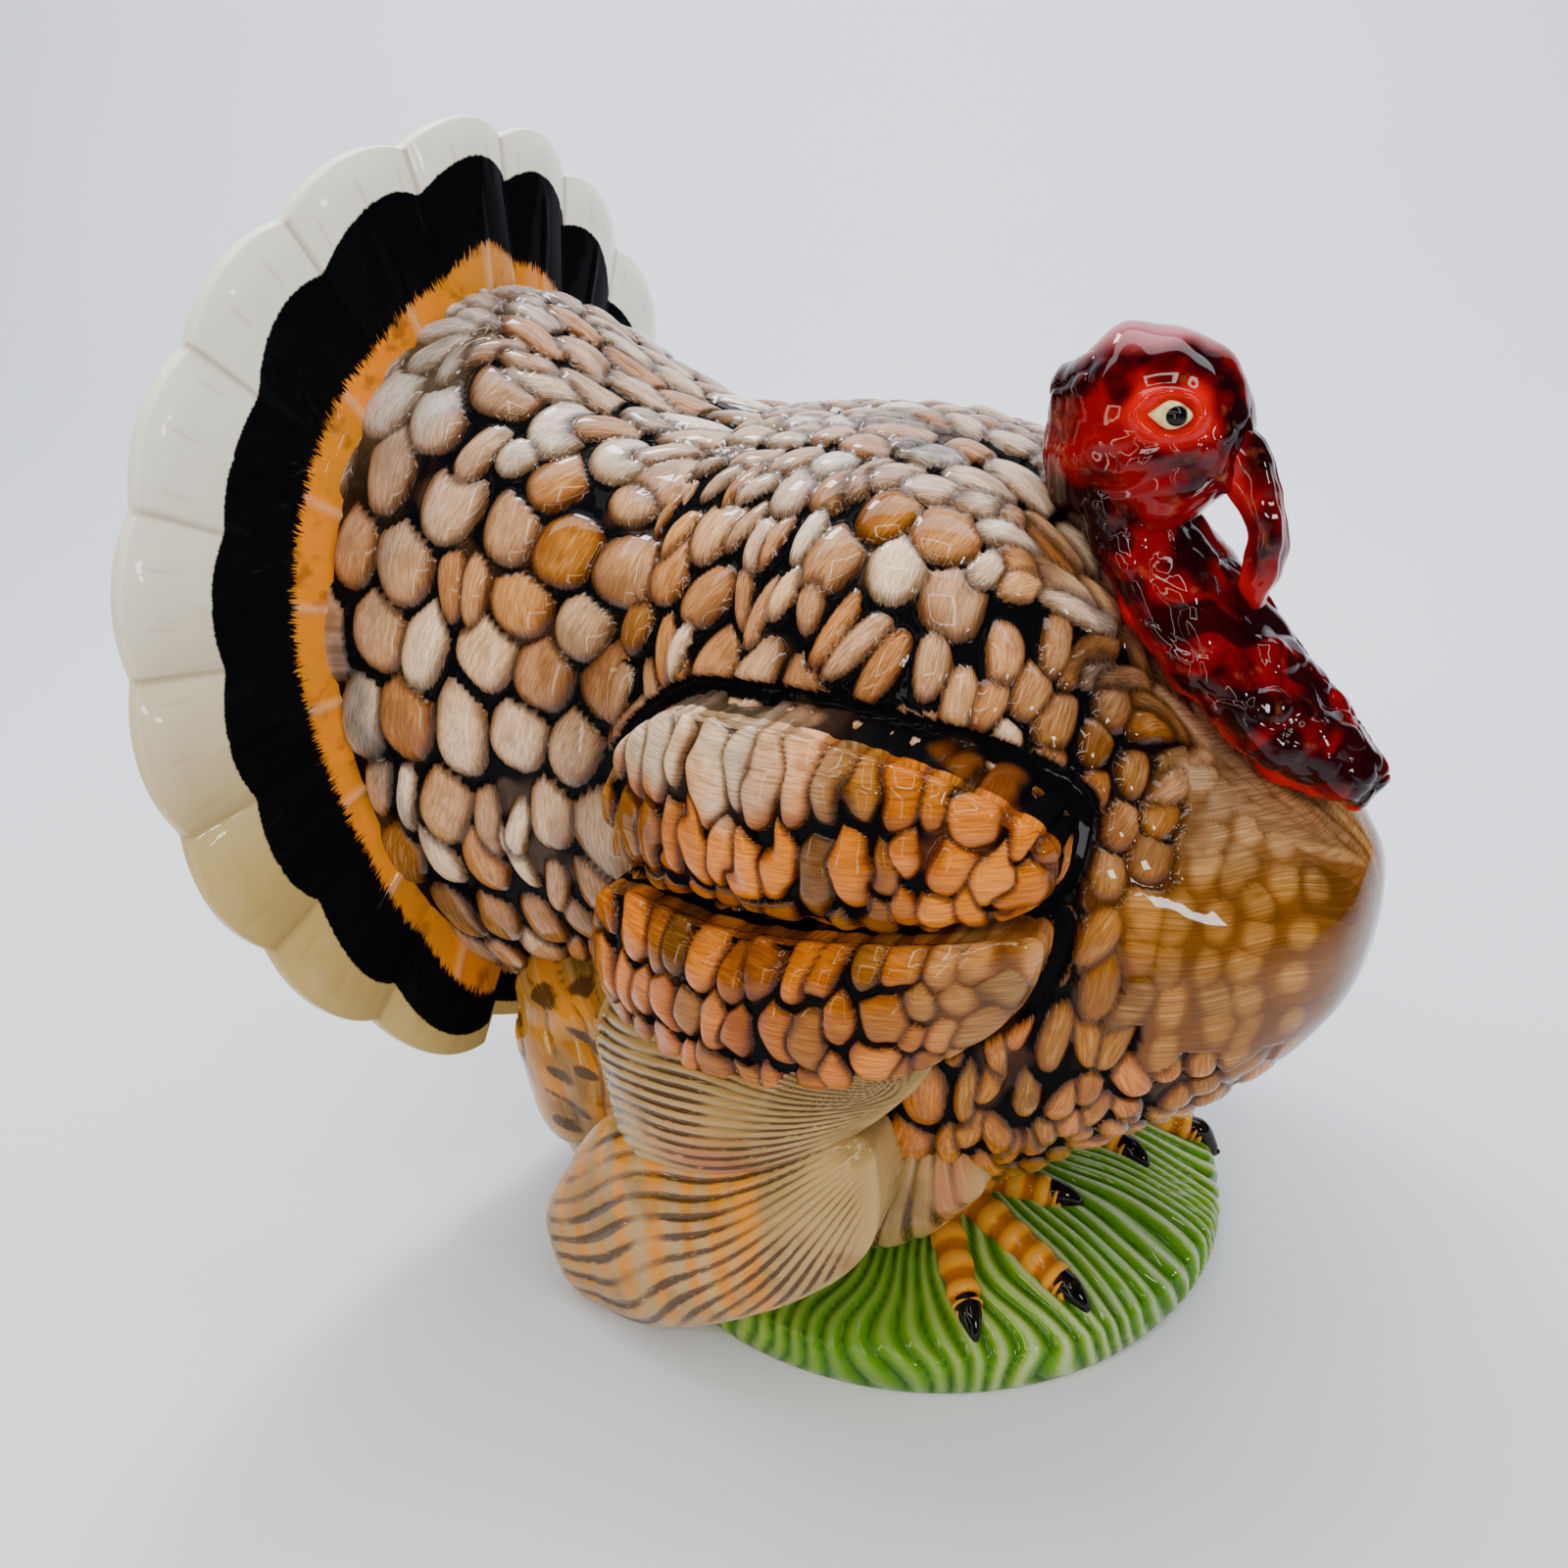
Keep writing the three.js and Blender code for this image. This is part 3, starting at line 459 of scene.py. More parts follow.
@dataclass(frozen=True)
class Feathers:
    """Overlapping oval feathers, each with its middle, its axes and its half sizes."""

    place: Array
    tip: Array
    side: Array
    length: Array
    width: Array
    depth: float = 8.0
    lift: float = 0.5
    roundness: float = 2.3

    def read(self, points: Array, cell: float = 14.0) -> Reading:
        """Find the feather that shows at each point.

        Args:
            points: Points in millimetres.
            cell: Size of the cells that the points are sorted into.

        Returns:
            How far inside its feather each point is, the feather's lead over the next one, the
            point's place along and across it, and its number.
        """
        count = len(points)
        inside, lead = np.full(count, FAR_OUTSIDE), np.zeros(count)
        along, across = np.zeros(count), np.zeros(count)
        owner = np.zeros(count, int)
        reach = 1.8 * self.length.max()
        corners = np.floor(points / cell).astype(int)
        cells = np.unique(corners, axis=0, return_inverse=True)[1].ravel()
        order = np.argsort(cells, kind="stable")
        for part in np.split(order, np.flatnonzero(np.diff(cells[order])) + 1):
            spots = points[part]
            low, high = spots.min(0) - reach, spots.max(0) + reach
            near = np.flatnonzero(((self.place > low) & (self.place < high)).all(1))
            if len(near) < 2:
                continue
            offset = spots[:, None] - self.place[near]
            a = np.einsum("ijk,jk->ij", offset, self.tip[near])
            b = np.einsum("ijk,jk->ij", offset, self.side[near])
            n = np.maximum((offset**2).sum(2) - a**2 - b**2, 0.0) / self.depth**2
            a, b = a / self.length[near], b / self.width[near]
            plain = 1 - np.abs(a) ** self.roundness - np.abs(b) ** self.roundness
            score = plain + self.lift * a - n
            first = score.argmax(1)
            rank = np.arange(len(part))
            top = score[rank, first]
            along[part], across[part] = a[rank, first], b[rank, first]
            inside[part], owner[part] = plain[rank, first], near[first]
            score[rank, first] = -3 * MOST_LEAD
            lead[part] = np.minimum(top - score.max(1), MOST_LEAD)
        return Reading(inside, lead, along, across, owner)

    def randoms(self, seed: int) -> Array:
        """Three random shares for each feather."""
        return np.random.default_rng(seed).uniform(size=(len(self.place), 3))


@dataclass(frozen=True)
class Relief:
    """Height and cover of carved feathers at each point, and where the brush went."""

    height: Array
    cover: Array
    spread: Array
    brush: Array
    shares: Array
    middle: Array

    @classmethod
    def of(cls, field: Feathers, points: Array, seed: int) -> "Relief":
        """Read a field of feathers and turn it into height, cover and brush strokes.

        Args:
            field: The feathers.
            points: Points in millimetres.
            seed: Chooses the feathers' random shares.

        Returns:
            The relief, with heights from 0 in the gaps to 1 on the feathers, and with a cover
            that is above 0 where paint lies on a feather and below 0 in the gaps.
        """
        found = field.read(points)
        shares = field.randoms(seed)[found.owner]
        cover = np.minimum(found.inside, 0.8 * found.lead - 0.04)
        pillow = np.sqrt(np.clip(found.inside, 0.0, 1.0))
        raised = smoothstep(-0.25, 0.12, cover)
        slope = 0.55 + 0.45 * smoothstep(-1.0, 0.4, found.along)
        height = raised * (0.15 + 0.85 * pillow) * slope * (0.88 + 0.2 * shares[:, 1])
        width, length = field.width[found.owner], field.length[found.owner]
        brush = np.stack(
            [found.across * width, found.along * length, shares[:, 0] * 400.0], 1
        )
        # How far towards its rim each point lies, which the painted shade of the feathers follows
        spread = np.clip(found.across**2 + 0.6 * found.along**2, 0.0, 1.0)
        return cls(np.minimum(height, 1.0), cover, spread, brush, shares, field.place[found.owner])


class Nodes:
    """Short calls for the nodes of a material, a light or the world."""

    def __init__(self, tree: bpy.types.NodeTree) -> None:
        """Keep the tree that the nodes go into."""
        self.tree = tree

    def feed(self, socket: Socket, value: object) -> None:
        """Link an input to an output, or set it to a plain value.

        Args:
            socket: The input.
            value: An output, a plain value, or None to leave the input as it is.
        """
        if isinstance(value, Socket):
            self.tree.links.new(value, socket)
        elif value is not None:
            socket.default_value = value

    def node(self, kind: str, output: int | str, inputs: dict[int | str, object],
             **options: str) -> Socket:
        """Add a node.

        Args:
            kind: Blender's name of the node, without ShaderNode.
            output: Which of its outputs is wanted.
            inputs: What its inputs are fed with.
            options: Its settings.

        Returns:
            The output.
        """
        node = self.tree.nodes.new(f"ShaderNode{kind}")
        for name, value in options.items():
            setattr(node, name, value)
        for key, value in inputs.items():
            self.feed(node.inputs[key], value)
        return node.outputs[output]

    def math(self, kind: str, first: object, second: object = None) -> Socket:
        """One of Blender's math operations."""
        return self.node("Math", 0, {0: first, 1: second}, operation=kind)


class Glaze(Nodes):
    """A glaze material, with short calls for what it is made of."""

    CLEAR = {"Coat Roughness": 0.03, "Coat IOR": 1.32, "IOR": 1.45, "Specular IOR Level": 0.0}
    WAVE_SCALE = 95.0
    WAVE_STRENGTH = 0.5
    WAVE_HEIGHT = 0.0006
    SOAKED = 1.25

    def __init__(self, name: str, roughness: float = 0.12, coat: float = 1.0) -> None:
        """Start a glossy material.

        Args:
            name: Name of the material.
            roughness: Roughness of the painted surface under the glaze.
            coat: Weight of the clear glaze.
        """
        self.material = bpy.data.materials.new(name)
        self.material.use_nodes = True
        super().__init__(self.material.node_tree)
        settings = {**self.CLEAR, "Roughness": roughness, "Coat Weight": coat}
        for key, value in settings.items():
            self.set(key, value)

    def set(self, key: str, value: object) -> None:
        """Feed an input of the shader."""
        self.feed(self.tree.nodes["Principled BSDF"].inputs[key], value)

    def attribute(self, name: str, output: str = "Fac") -> Socket:
        """An attribute of the piece: Fac for a number, Color or Vector for the others."""
        return self.node("Attribute", output, {}, attribute_name=name)

    def place(self) -> Socket:
        """Object coordinates."""
        return self.node("TexCoord", "Object", {})

    def stretch(self, vector: object, scale: Triple) -> Socket:
        """A vector multiplied part by part."""
        return self.node("VectorMath", 0, {0: vector, 1: scale}, operation="MULTIPLY")

    def noise(self, vector: object, scale: float, detail: float = 3.0) -> Socket:
        """Noise texture as a number."""
        return self.node("TexNoise", "Fac", {"Vector": vector, "Scale": scale, "Detail": detail})

    def step(self, value: object, low: float, high: float, top: float = 1.0) -> Socket:
        """Soft step of a number from 0 at low to top at high."""
        inputs = {"Value": value, "From Min": low, "From Max": high, "To Max": top}
        return self.node("MapRange", 0, inputs, interpolation_type="SMOOTHSTEP")

    def mix(self, share: object, first: object, second: object) -> Socket:
        """Mix of two colours."""
        return self.node("Mix", 2, {"Factor": share, 6: first, 7: second}, data_type="RGBA")

    def bump(self, height: object, distance: float, strength: float = 1.0) -> None:
        """Give the paint a fine relief, and the clear glaze its soft waves.

        Args:
            height: The relief.
            distance: Its height in metres.
            strength: How strongly it shows, from 0 to 1.
        """
        wave = self.noise(self.place(), self.WAVE_SCALE, 1.0)
        for key, rows in (
            ("Normal", (strength, distance, height)),
            ("Coat Normal", (self.WAVE_STRENGTH, self.WAVE_HEIGHT, wave)),
        ):
            inputs = dict(zip(("Strength", "Distance", "Height"), rows))
            self.set(key, self.node("Bump", 0, inputs))

    def dull(self, dark: object) -> None:
        """Lower the clear glaze where black paint has soaked it up."""
        self.set("Coat Weight", self.step(dark, self.SOAKED, 0.0))

    def rough(self, value: object) -> None:
        """Set the roughness of the paint under the clear glaze."""
        self.set("Roughness", value)

    def colour(self, value: object) -> None:
        """Set the base colour."""
        self.set("Base Color", value)


def plumage_glaze(name: str, patch: float = 0.4, worn: float = 0.5,
                  pallor: float = 0.35) -> Material:
    """Painted feathers: streaks of dry brush over the base colour, and ink in the gaps.

    Args:
        name: Name of the material.
        patch: How far paint has run over the gaps, from 0 to 1.
        worn: How far the feathers are worn pale along their middles, from 0 to 1.
        pallor: How near to straw the worn paint is, from 0 to 1.

    Returns:
        The material.
    """
    glaze = Glaze(name)
    brush, place = glaze.attribute("brush", "Vector"), glaze.place()
    paint, shade = glaze.attribute("paint", "Color"), glaze.attribute("shade", "Color")
    cover, ink = glaze.attribute("cover"), glaze.attribute("ink")
    streak = glaze.noise(glaze.stretch(brush, (1.3, 0.12, 0.37)), 1.0, 4.0)
    fine = glaze.noise(glaze.stretch(brush, (4.0, 0.3, 0.73)), 1.0, 3.0)
    cloud = glaze.noise(place, 55.0, 3.0)
    deep = glaze.mix(glaze.step(fine, 0.6, 0.38, 0.75), paint, shade)
    rubbed = glaze.step(streak, 0.46, 0.66, worn)
    wear = glaze.math("MULTIPLY", glaze.step(cover, 0.35, 0.9), rubbed)
    light = glaze.mix(pallor, glaze.stretch(paint, (1.25, 1.25, 1.25)), Tint.STRAW.rgba)
    pale = glaze.mix(wear, deep, light)
    ragged = glaze.math("MULTIPLY", glaze.math("SUBTRACT", fine, 0.5), 0.5)
    reach = glaze.math("ADD", cover, ragged)
    wash = glaze.step(glaze.noise(place, 85.0, 2.0), 0.52, 0.66, 0.55)
    pale = glaze.mix(wash, pale, shade)
    stain = glaze.math("MULTIPLY", glaze.step(reach, 0.55, 0.02, 0.8), ink)
    pale = glaze.mix(stain, pale, glaze.stretch(shade, (0.3, 0.3, 0.4)))
    bare = glaze.step(reach, 0.05, -0.1)
    spill = glaze.step(glaze.noise(place, 38.0, 2.0), 0.57, 0.66, patch)
    bare = glaze.math("MULTIPLY", bare, glaze.math("SUBTRACT", 1.0, spill))
    bare = glaze.math("MULTIPLY", bare, ink)
    glaze.colour(glaze.mix(bare, pale, Tint.INK.rgba))
    glaze.dull(bare)
    painted_on = glaze.step(bare, 1.2, 0.0)
    glaze.rough(glaze.math("MULTIPLY", glaze.step(cloud, 0.3, 0.7, 0.3), painted_on))
    glaze.bump(glaze.math("ADD", streak, glaze.math("MULTIPLY", cloud, 2.0)), 0.0004, 0.6)
    return glaze.material


def rib_glaze(name: str) -> Material:
    """Flight feathers: thin brown quills and soft bars over a tan ground.

    Args:
        name: Name of the material.

    Returns:
        The material.
    """
    glaze = Glaze(name)
    brush = glaze.attribute("brush", "Vector")
    streak = glaze.noise(glaze.stretch(brush, (1.1, 0.1, 0.37)), 1.0, 4.0)
    fine = glaze.noise(glaze.stretch(brush, (3.0, 0.25, 0.73)), 1.0, 3.0)
    pale = glaze.mix(glaze.step(streak, 0.46, 0.68, 0.4), glaze.attribute("paint", "Color"),
                     Tint.SAND.rgba)
    cloud = glaze.noise(glaze.place(), 60.0, 3.0)
    warm = glaze.mix(glaze.step(cloud, 0.48, 0.66, 0.5), pale, Tint.OLIVE.rgba)
    ink = glaze.math("MULTIPLY", glaze.attribute("ink"), glaze.step(fine, 0.2, 0.5))
    glaze.colour(glaze.mix(glaze.step(ink, 0.1, 0.7, 0.95), warm, Tint.UMBER.rgba))
    glaze.rough(glaze.step(cloud, 0.3, 0.7, 0.35))
    glaze.bump(streak, 0.0003, 0.6)
    return glaze.material


def fan_glaze() -> Material:
    """Ivory rim, black band and orange band, with edges left ragged by the brush.

    Returns:
        The material.
    """
    glaze = Glaze("Fan_glaze", roughness=0.06)
    brush = glaze.attribute("brush", "Vector")
    rough = glaze.noise(glaze.stretch(brush, (0.9, 0.12, 1.0)), 1.0, 4.0)
    fine = glaze.noise(glaze.stretch(brush, (2.4, 0.2, 1.0)), 1.0, 3.0)
    wander = glaze.math("MULTIPLY", glaze.math("SUBTRACT", rough, 0.5), 5.0)
    tuft = glaze.math("MULTIPLY", glaze.math("SUBTRACT", fine, 0.5), 9.0)
    cloud = glaze.noise(glaze.place(), 50.0, 4.0)
    orange = glaze.mix(glaze.step(cloud, 0.4, 0.62), Tint.AMBER.rgba, Tint.ORANGE.rgba)
    orange = glaze.mix(glaze.step(fine, 0.58, 0.72, 0.5), orange, Tint.PEACH.rgba)
    blot = glaze.step(glaze.noise(glaze.place(), 120.0, 3.0), 0.55, 0.7, 0.7)
    orange = glaze.mix(blot, orange, Tint.BROWN.rgba)
    quill = glaze.math("MULTIPLY", glaze.attribute("quill"), 0.4)
    orange = glaze.mix(quill, orange, Tint.CREAM.rgba)
    inner = glaze.math("ADD", glaze.attribute("inner"), glaze.math("ADD", wander, tuft))
    black = glaze.step(inner, -0.8, 0.8)
    dark = glaze.mix(black, orange, Tint.INK.rgba)
    rim = glaze.mix(glaze.attribute("warm"), Tint.IVORY.rgba, Tint.BUTTER.rgba)
    rim = glaze.mix(glaze.step(glaze.attribute("groove"), 0.2, 1.0, 0.5), rim, Tint.TAN.rgba)
    outer = glaze.math("ADD", glaze.attribute("outer"), glaze.math("MULTIPLY", wander, 0.25))
    ivory = glaze.step(outer, -0.35, 0.35)
    glaze.colour(glaze.mix(ivory, dark, rim))
    glaze.dull(glaze.math("SUBTRACT", black, ivory))
    glaze.rough(glaze.step(rough, 0.3, 0.7, 0.3))
    glaze.bump(glaze.math("ADD", cloud, glaze.math("MULTIPLY", fine, 0.4)), 0.0003, 0.5)
    return glaze.material


def ruby_glaze() -> Material:
    """Deep red glaze, pooled almost black and thinned to scarlet at its edges, over each piece's
    own paint, which on the crown is a painted rose sheen.

    Returns:
        The material.
    """
    glaze = Glaze("Ruby_glaze")
    place = glaze.place()
    cloud = glaze.noise(place, 62.0, 4.0)
    vein = glaze.noise(place, 210.0, 3.0)
    base = glaze.mix(glaze.step(cloud, 0.4, 0.62), Tint.RUBY.rgba, Tint.MAROON.rgba)
    base = glaze.mix(glaze.step(vein, 0.58, 0.75, 0.35), base, Tint.BLUSH.rgba)
    base = glaze.mix(glaze.attribute("ink"), base, glaze.attribute("paint", "Color"))
    pool = glaze.math("MULTIPLY", glaze.attribute("pool"), glaze.step(cloud, 0.3, 0.5))
    glaze.colour(glaze.mix(glaze.step(pool, 0.1, 0.9, 0.9), base, Tint.MAROON.rgba))
    glaze.set("Coat IOR", 1.33)
    glaze.rough(glaze.step(vein, 0.3, 0.8, 0.22))
    glaze.bump(glaze.noise(place, 120.0, 2.0), 0.001, 0.5)
    return glaze.material


def simple_glaze(name: str, low: Tint, high: Tint, scale: float) -> Material:
    """Two paints that run into each other over the piece's own paint.

    Args:
        name: Name of the material.
        low: Paint of the hollows of the noise.
        high: Paint of its peaks.
        scale: How fine the noise is.

    Returns:
        The material.
    """
    glaze = Glaze(name)
    place = glaze.place()
    cloud = glaze.noise(place, scale, 4.0)
    base = glaze.mix(glaze.step(cloud, 0.35, 0.65), low.rgba, high.rgba)
    fine = glaze.noise(place, 6 * scale, 3.0)
    base = glaze.mix(0.8, base, glaze.attribute("paint", "Color"))
    base = glaze.mix(glaze.step(fine, 0.55, 0.75, 0.25), base, high.rgba)
    glaze.colour(base)
    glaze.rough(glaze.step(cloud, 0.3, 0.7, 0.3))
    glaze.bump(cloud, 0.0003, 0.5)
    return glaze.material


@dataclass(frozen=True)
class BodyForm:
    """The smooth form of the body that feathers, wings and neck are set on."""

    length: float = 174.0
    half_width: float = 80.0
    height: float = 215.0
    rear: float = 50.0
    bottom: float = 23.0
    lean: float = 5.0
    waist: float = 0.3
    widest: float = 0.54
    fullness: float = 0.88

    def section(self, along: Array, turn: Array) -> Array:
        """Points on the body.

        Args:
            along: Shares of its length from the waist to the breast.
            turn: Degrees from its left side over its back.

        Returns:
            Points in millimetres.
        """
        width, half, centre = self._shares(along)
        high = self.bottom + self.height * (centre + half)
        low = self.bottom + self.height * (centre - half)
        middle = low + (high - low) * self.widest
        sideways = fuller(np.cos(np.radians(turn)), self.fullness)
        upward = fuller(np.sin(np.radians(turn)), self.fullness)
        up = middle + np.where(upward > 0, high - middle, middle - low) * upward
        fade = np.maximum(0.0, 1 - along / self.waist) * math.tan(math.radians(self.lean))
        x = self.length * along - self.rear + (up - self.bottom - self.height / 2) * fade
        return np.stack([x, self.half_width * width * sideways, up], -1)

    @staticmethod
    def _shares(along: Array) -> Array:
        """Read BODY_SHARES, as squares so that the breast is round.

        Args:
            along: Shares of the way along the body.

        Returns:
            Half width, half height and middle, as shares.
        """
        rows = [(key, width**2, ((top - low) / 2) ** 2, (top + low) / 2)
                for key, width, top, low in BODY_SHARES]
        width, half, centre = read_table(rows, along)
        return np.stack([np.sqrt(np.maximum(width, 0)), np.sqrt(np.maximum(half, 0)), centre])

    def point(self, along: Array, up: Array) -> tuple[Array, Array]:
        """Place in the side view of shares of the body's length and height."""
        return self.length * along - self.rear, self.bottom + self.height * up

    def side(self, x: Array) -> Array:
        """Half width of the body at a place along it."""
        along = np.clip((x + self.rear) / self.length, 0.0, 1.0)
        return self.half_width * self._shares(along)[0]


@dataclass(frozen=True)
class FanForm:
    """The smooth form of the tail fan."""

    half_width: float = 124.0
    half_height: float = 140.0
    x: float = -118.0
    middle: float = 167.05
    sweep: float = 31.0
    softness: float = 20.0
    lean: float = 3.8
    bulge: float = 4.0
    scallop: float = 6.0
    pitch: float = 18.0
    count: int = 17
    gap: float = 0.9

    def front(self, side: Array, up: Array) -> Array:
        """How far forward the fan's front is.

        Args:
            side: Places across the fan, from its middle.
            up: Places up the fan, from its middle.

        Returns:
            The front's x.
        """
        soft = np.hypot(side, self.softness) - self.softness
        full = math.hypot(self.half_width, self.softness) - self.softness
        return self.x - math.tan(math.radians(self.lean)) * up - self.sweep * soft / full

    def across(self, angle: Array) -> Array:
        """Place across one feather: -1 and 1 in the valleys, 0 on its quill."""
        return rib(angle / self.pitch)

    def point(self, angle: Array, share: Array, depth: Array) -> Array:
        """Points on the fan.

        Args:
            angle: Degrees from its top towards the right.
            share: Shares of its outline from the middle.
            depth: How far behind its front.

        Returns:
            Points in millimetres.
        """
        across = self.across(angle)
        covered = np.abs(angle) <= self.pitch * self.count / 2
        relief = read_table(FAN_RELIEF, share)[0]
        reach = np.where(covered, 1.0, self.gap) * share
        cut = np.where(covered, self.scallop * across**2 * relief, 0.0)
        side = np.sin(np.radians(angle)) * (self.half_width * reach - cut)
        up = np.cos(np.radians(angle)) * (self.half_height * reach - cut)
        bulge = np.where(covered, self.bulge * (1 - across**2) * relief, 0.0)
        x = self.front(side, up) + bulge - depth
        return np.stack([x, -side, self.middle + up], -1)


@dataclass(frozen=True)
class Lattice:
    """Rows of feathers down both sides of a tube, alternate rows half a feather apart."""

    surface: Callable[[Array, Array], Array]
    step: float
    stations: tuple[int, ...]
    backward: float
    seed: int
    narrow_from: float = 9.0
    narrow_share: float = 0.36
    row_angle: float = 12.0
    rows: int = 13
    jitter: float = 0.13
    row_jitter: float = 0.1
    narrow_row_jitter: float = 0.18
    sway: float = 0.24
    breadth: float = 0.97
    stretch: float = 1.22
    shortest: float = 4.0
    narrowest: float = 2.5
    top_rows: tuple[tuple[float, int], ...] = ((0.0, 0), (6.0, 1), (12.0, 0), (18.5, 1))

    def feathers(self) -> Feathers:
        """Place the feathers, some of them split into two narrow ones.

        Returns:
            The feathers.
        """
        rng = np.random.default_rng(self.seed)
        falls = self.top_rows + tuple((self.row_angle * k, k % 2) for k in range(2, self.rows))
        spots = []
        for fall, parity in falls:
            for station in self.stations:
                if (station + parity) % 2:
                    continue
                for sign in (1, -1) if fall else (1,):
                    share = self.step * abs(station)
                    split = rng.uniform() < self.narrow_share or share > self.narrow_from
                    for shift in (-0.5, 0.5) if split else (0.0,):
                        place = share + (shift + rng.normal(0, self.jitter)) * self.step
                        loose = self.narrow_row_jitter if split else self.row_jitter
                        low = fall + rng.normal(0, loose) * self.row_angle
                        spots.append((place, low, sign, 0.5 if split else 1.0, fall))
        share, fall, sign, part, row = np.array(spots).T
        return self._axes(share, fall, sign, part, row, rng)

    def _axes(self, share: Array, fall: Array, sign: Array, part: Array,
              row: Array, rng: np.random.Generator) -> Feathers:
        """Turn and size the feathers by the surface they lie on.

        Args:
            share: Where each feather is along the tube.
            fall: Degrees from the top of the tube.
            sign: 1 for the right side, -1 for the left side.
            part: 1 for a whole feather, 0.5 for a narrow one.
            row: Degrees of the feather's row.
            rng: Draws the jitter.

        Returns:
            The feathers.
        """
        turn = 90 + sign * fall
        place = self.surface(share, turn)
        down = unit(self.surface(share, turn + sign) - place)
        back = unit(place - self.surface(share - 0.02 * self.backward, turn))
        hang = smoothstep(8.0, 30.0, fall)
        sway = rng.normal(0.0, self.sway, size=len(fall))
        tip = unit(down * hang[:, None] + back * (1.12 - hang + sway)[:, None])
        side = unit(np.cross(np.cross(down, back), tip))
        half = self.step / 2
        column = self._span(share - half, turn, share + half, turn)
        drop = self._span(share, turn - self.row_angle / 2, share, turn + self.row_angle / 2) / 2
        narrow = self.breadth * part * rng.uniform(0.84, 1.08, len(part))
        size = self.stretch * rng.uniform(0.9, 1.1, len(part))
        small = (row < 2 * self.row_angle).astype(float)
        length = size * (drop * (1 - small) + small * np.maximum(1.1 * column, 0.7 * drop))
        width = narrow * (column * (1 - small) + small * np.minimum(0.62 * drop, column) / part)
        length, width = np.maximum(length, self.shortest), np.maximum(width, self.narrowest)
        return Feathers(place, tip, side, length, width)

    def _span(self, share: Array, turn: Array, share_2: Array, turn_2: Array) -> Array:
        """Distance between two places on the surface."""
        apart = self.surface(share_2, turn_2) - self.surface(share, turn)
        return np.linalg.norm(apart, axis=1)


def feather_tints(relief: Relief, warm: Array, grey_and_sheen: Array) -> Array:
    """Base colours of body feathers.

    Args:
        relief: Their relief, with random shares for each feather.
        warm: How far each point is painted amber, from 0 to 1.
        grey_and_sheen: How far each point is painted grey and white, from 0 to 1: grey feathers,
            and painted sheen along the top.

    Returns:
        Linear colours.
    """
    first, second, third = relief.shares.T
    base = coats(
        Tint.PINK.linear,
        (Tint.PEACH, first),
        (Tint.CREAM, 0.8 * smoothstep(0.4, 0.85, second)),
        (Tint.AMBER, 0.7 * smoothstep(0.5, 0.95, third) * (0.4 + 0.6 * first)),
    )
    rich = coats(
        Tint.AMBER.linear,
        (Tint.HONEY, second),
        (Tint.OLIVE, 0.55 * smoothstep(0.4, 0.95, third)),
    )
    base = blend(base, rich, np.clip(warm + 0.4 * (first - 0.5), 0, 1) * 0.92)
    grey = blend(Tint.MIST.linear, Tint.SLATE.linear, smoothstep(0.45, 0.95, third))
    return blend(base, grey, np.clip(grey_and_sheen * (0.55 + 0.8 * (second - 0.5)), 0, 1))


def painted(skin: Skin, relief: Relief, colours: Array, ink: Array,
            cover: Array, brush: Array) -> None:
    """Keep the colours of feathers, with painted shade that darkens them towards their rims, and
    where the gaps are inked.

    Args:
        skin: The skin that is painted.
        relief: Its feathers.
        colours: Linear base colours.
        ink: How black the gaps are, from 0 to 1.
        cover: Where paint covers the ground, above 0.
        brush: Places on the brush strokes.
    """
    # Painted shade: each feather grows darker towards its rim, where it curves down into the gap
    rim = smoothstep(0.15, 0.95, relief.spread)
    colours = colours * (0.62 + 0.5 * relief.shares[:, 1])[:, None]
    dark = colours * np.array([0.32, 0.22, 0.1])
    skin.paint(blend(colours, dark, 0.85 * rim))
    skin.paint(blend(dark, colours, 0.25 * (1 - rim)), "shade")
    skin.note("ink", ink).note("brush", brush).note("cover", cover)


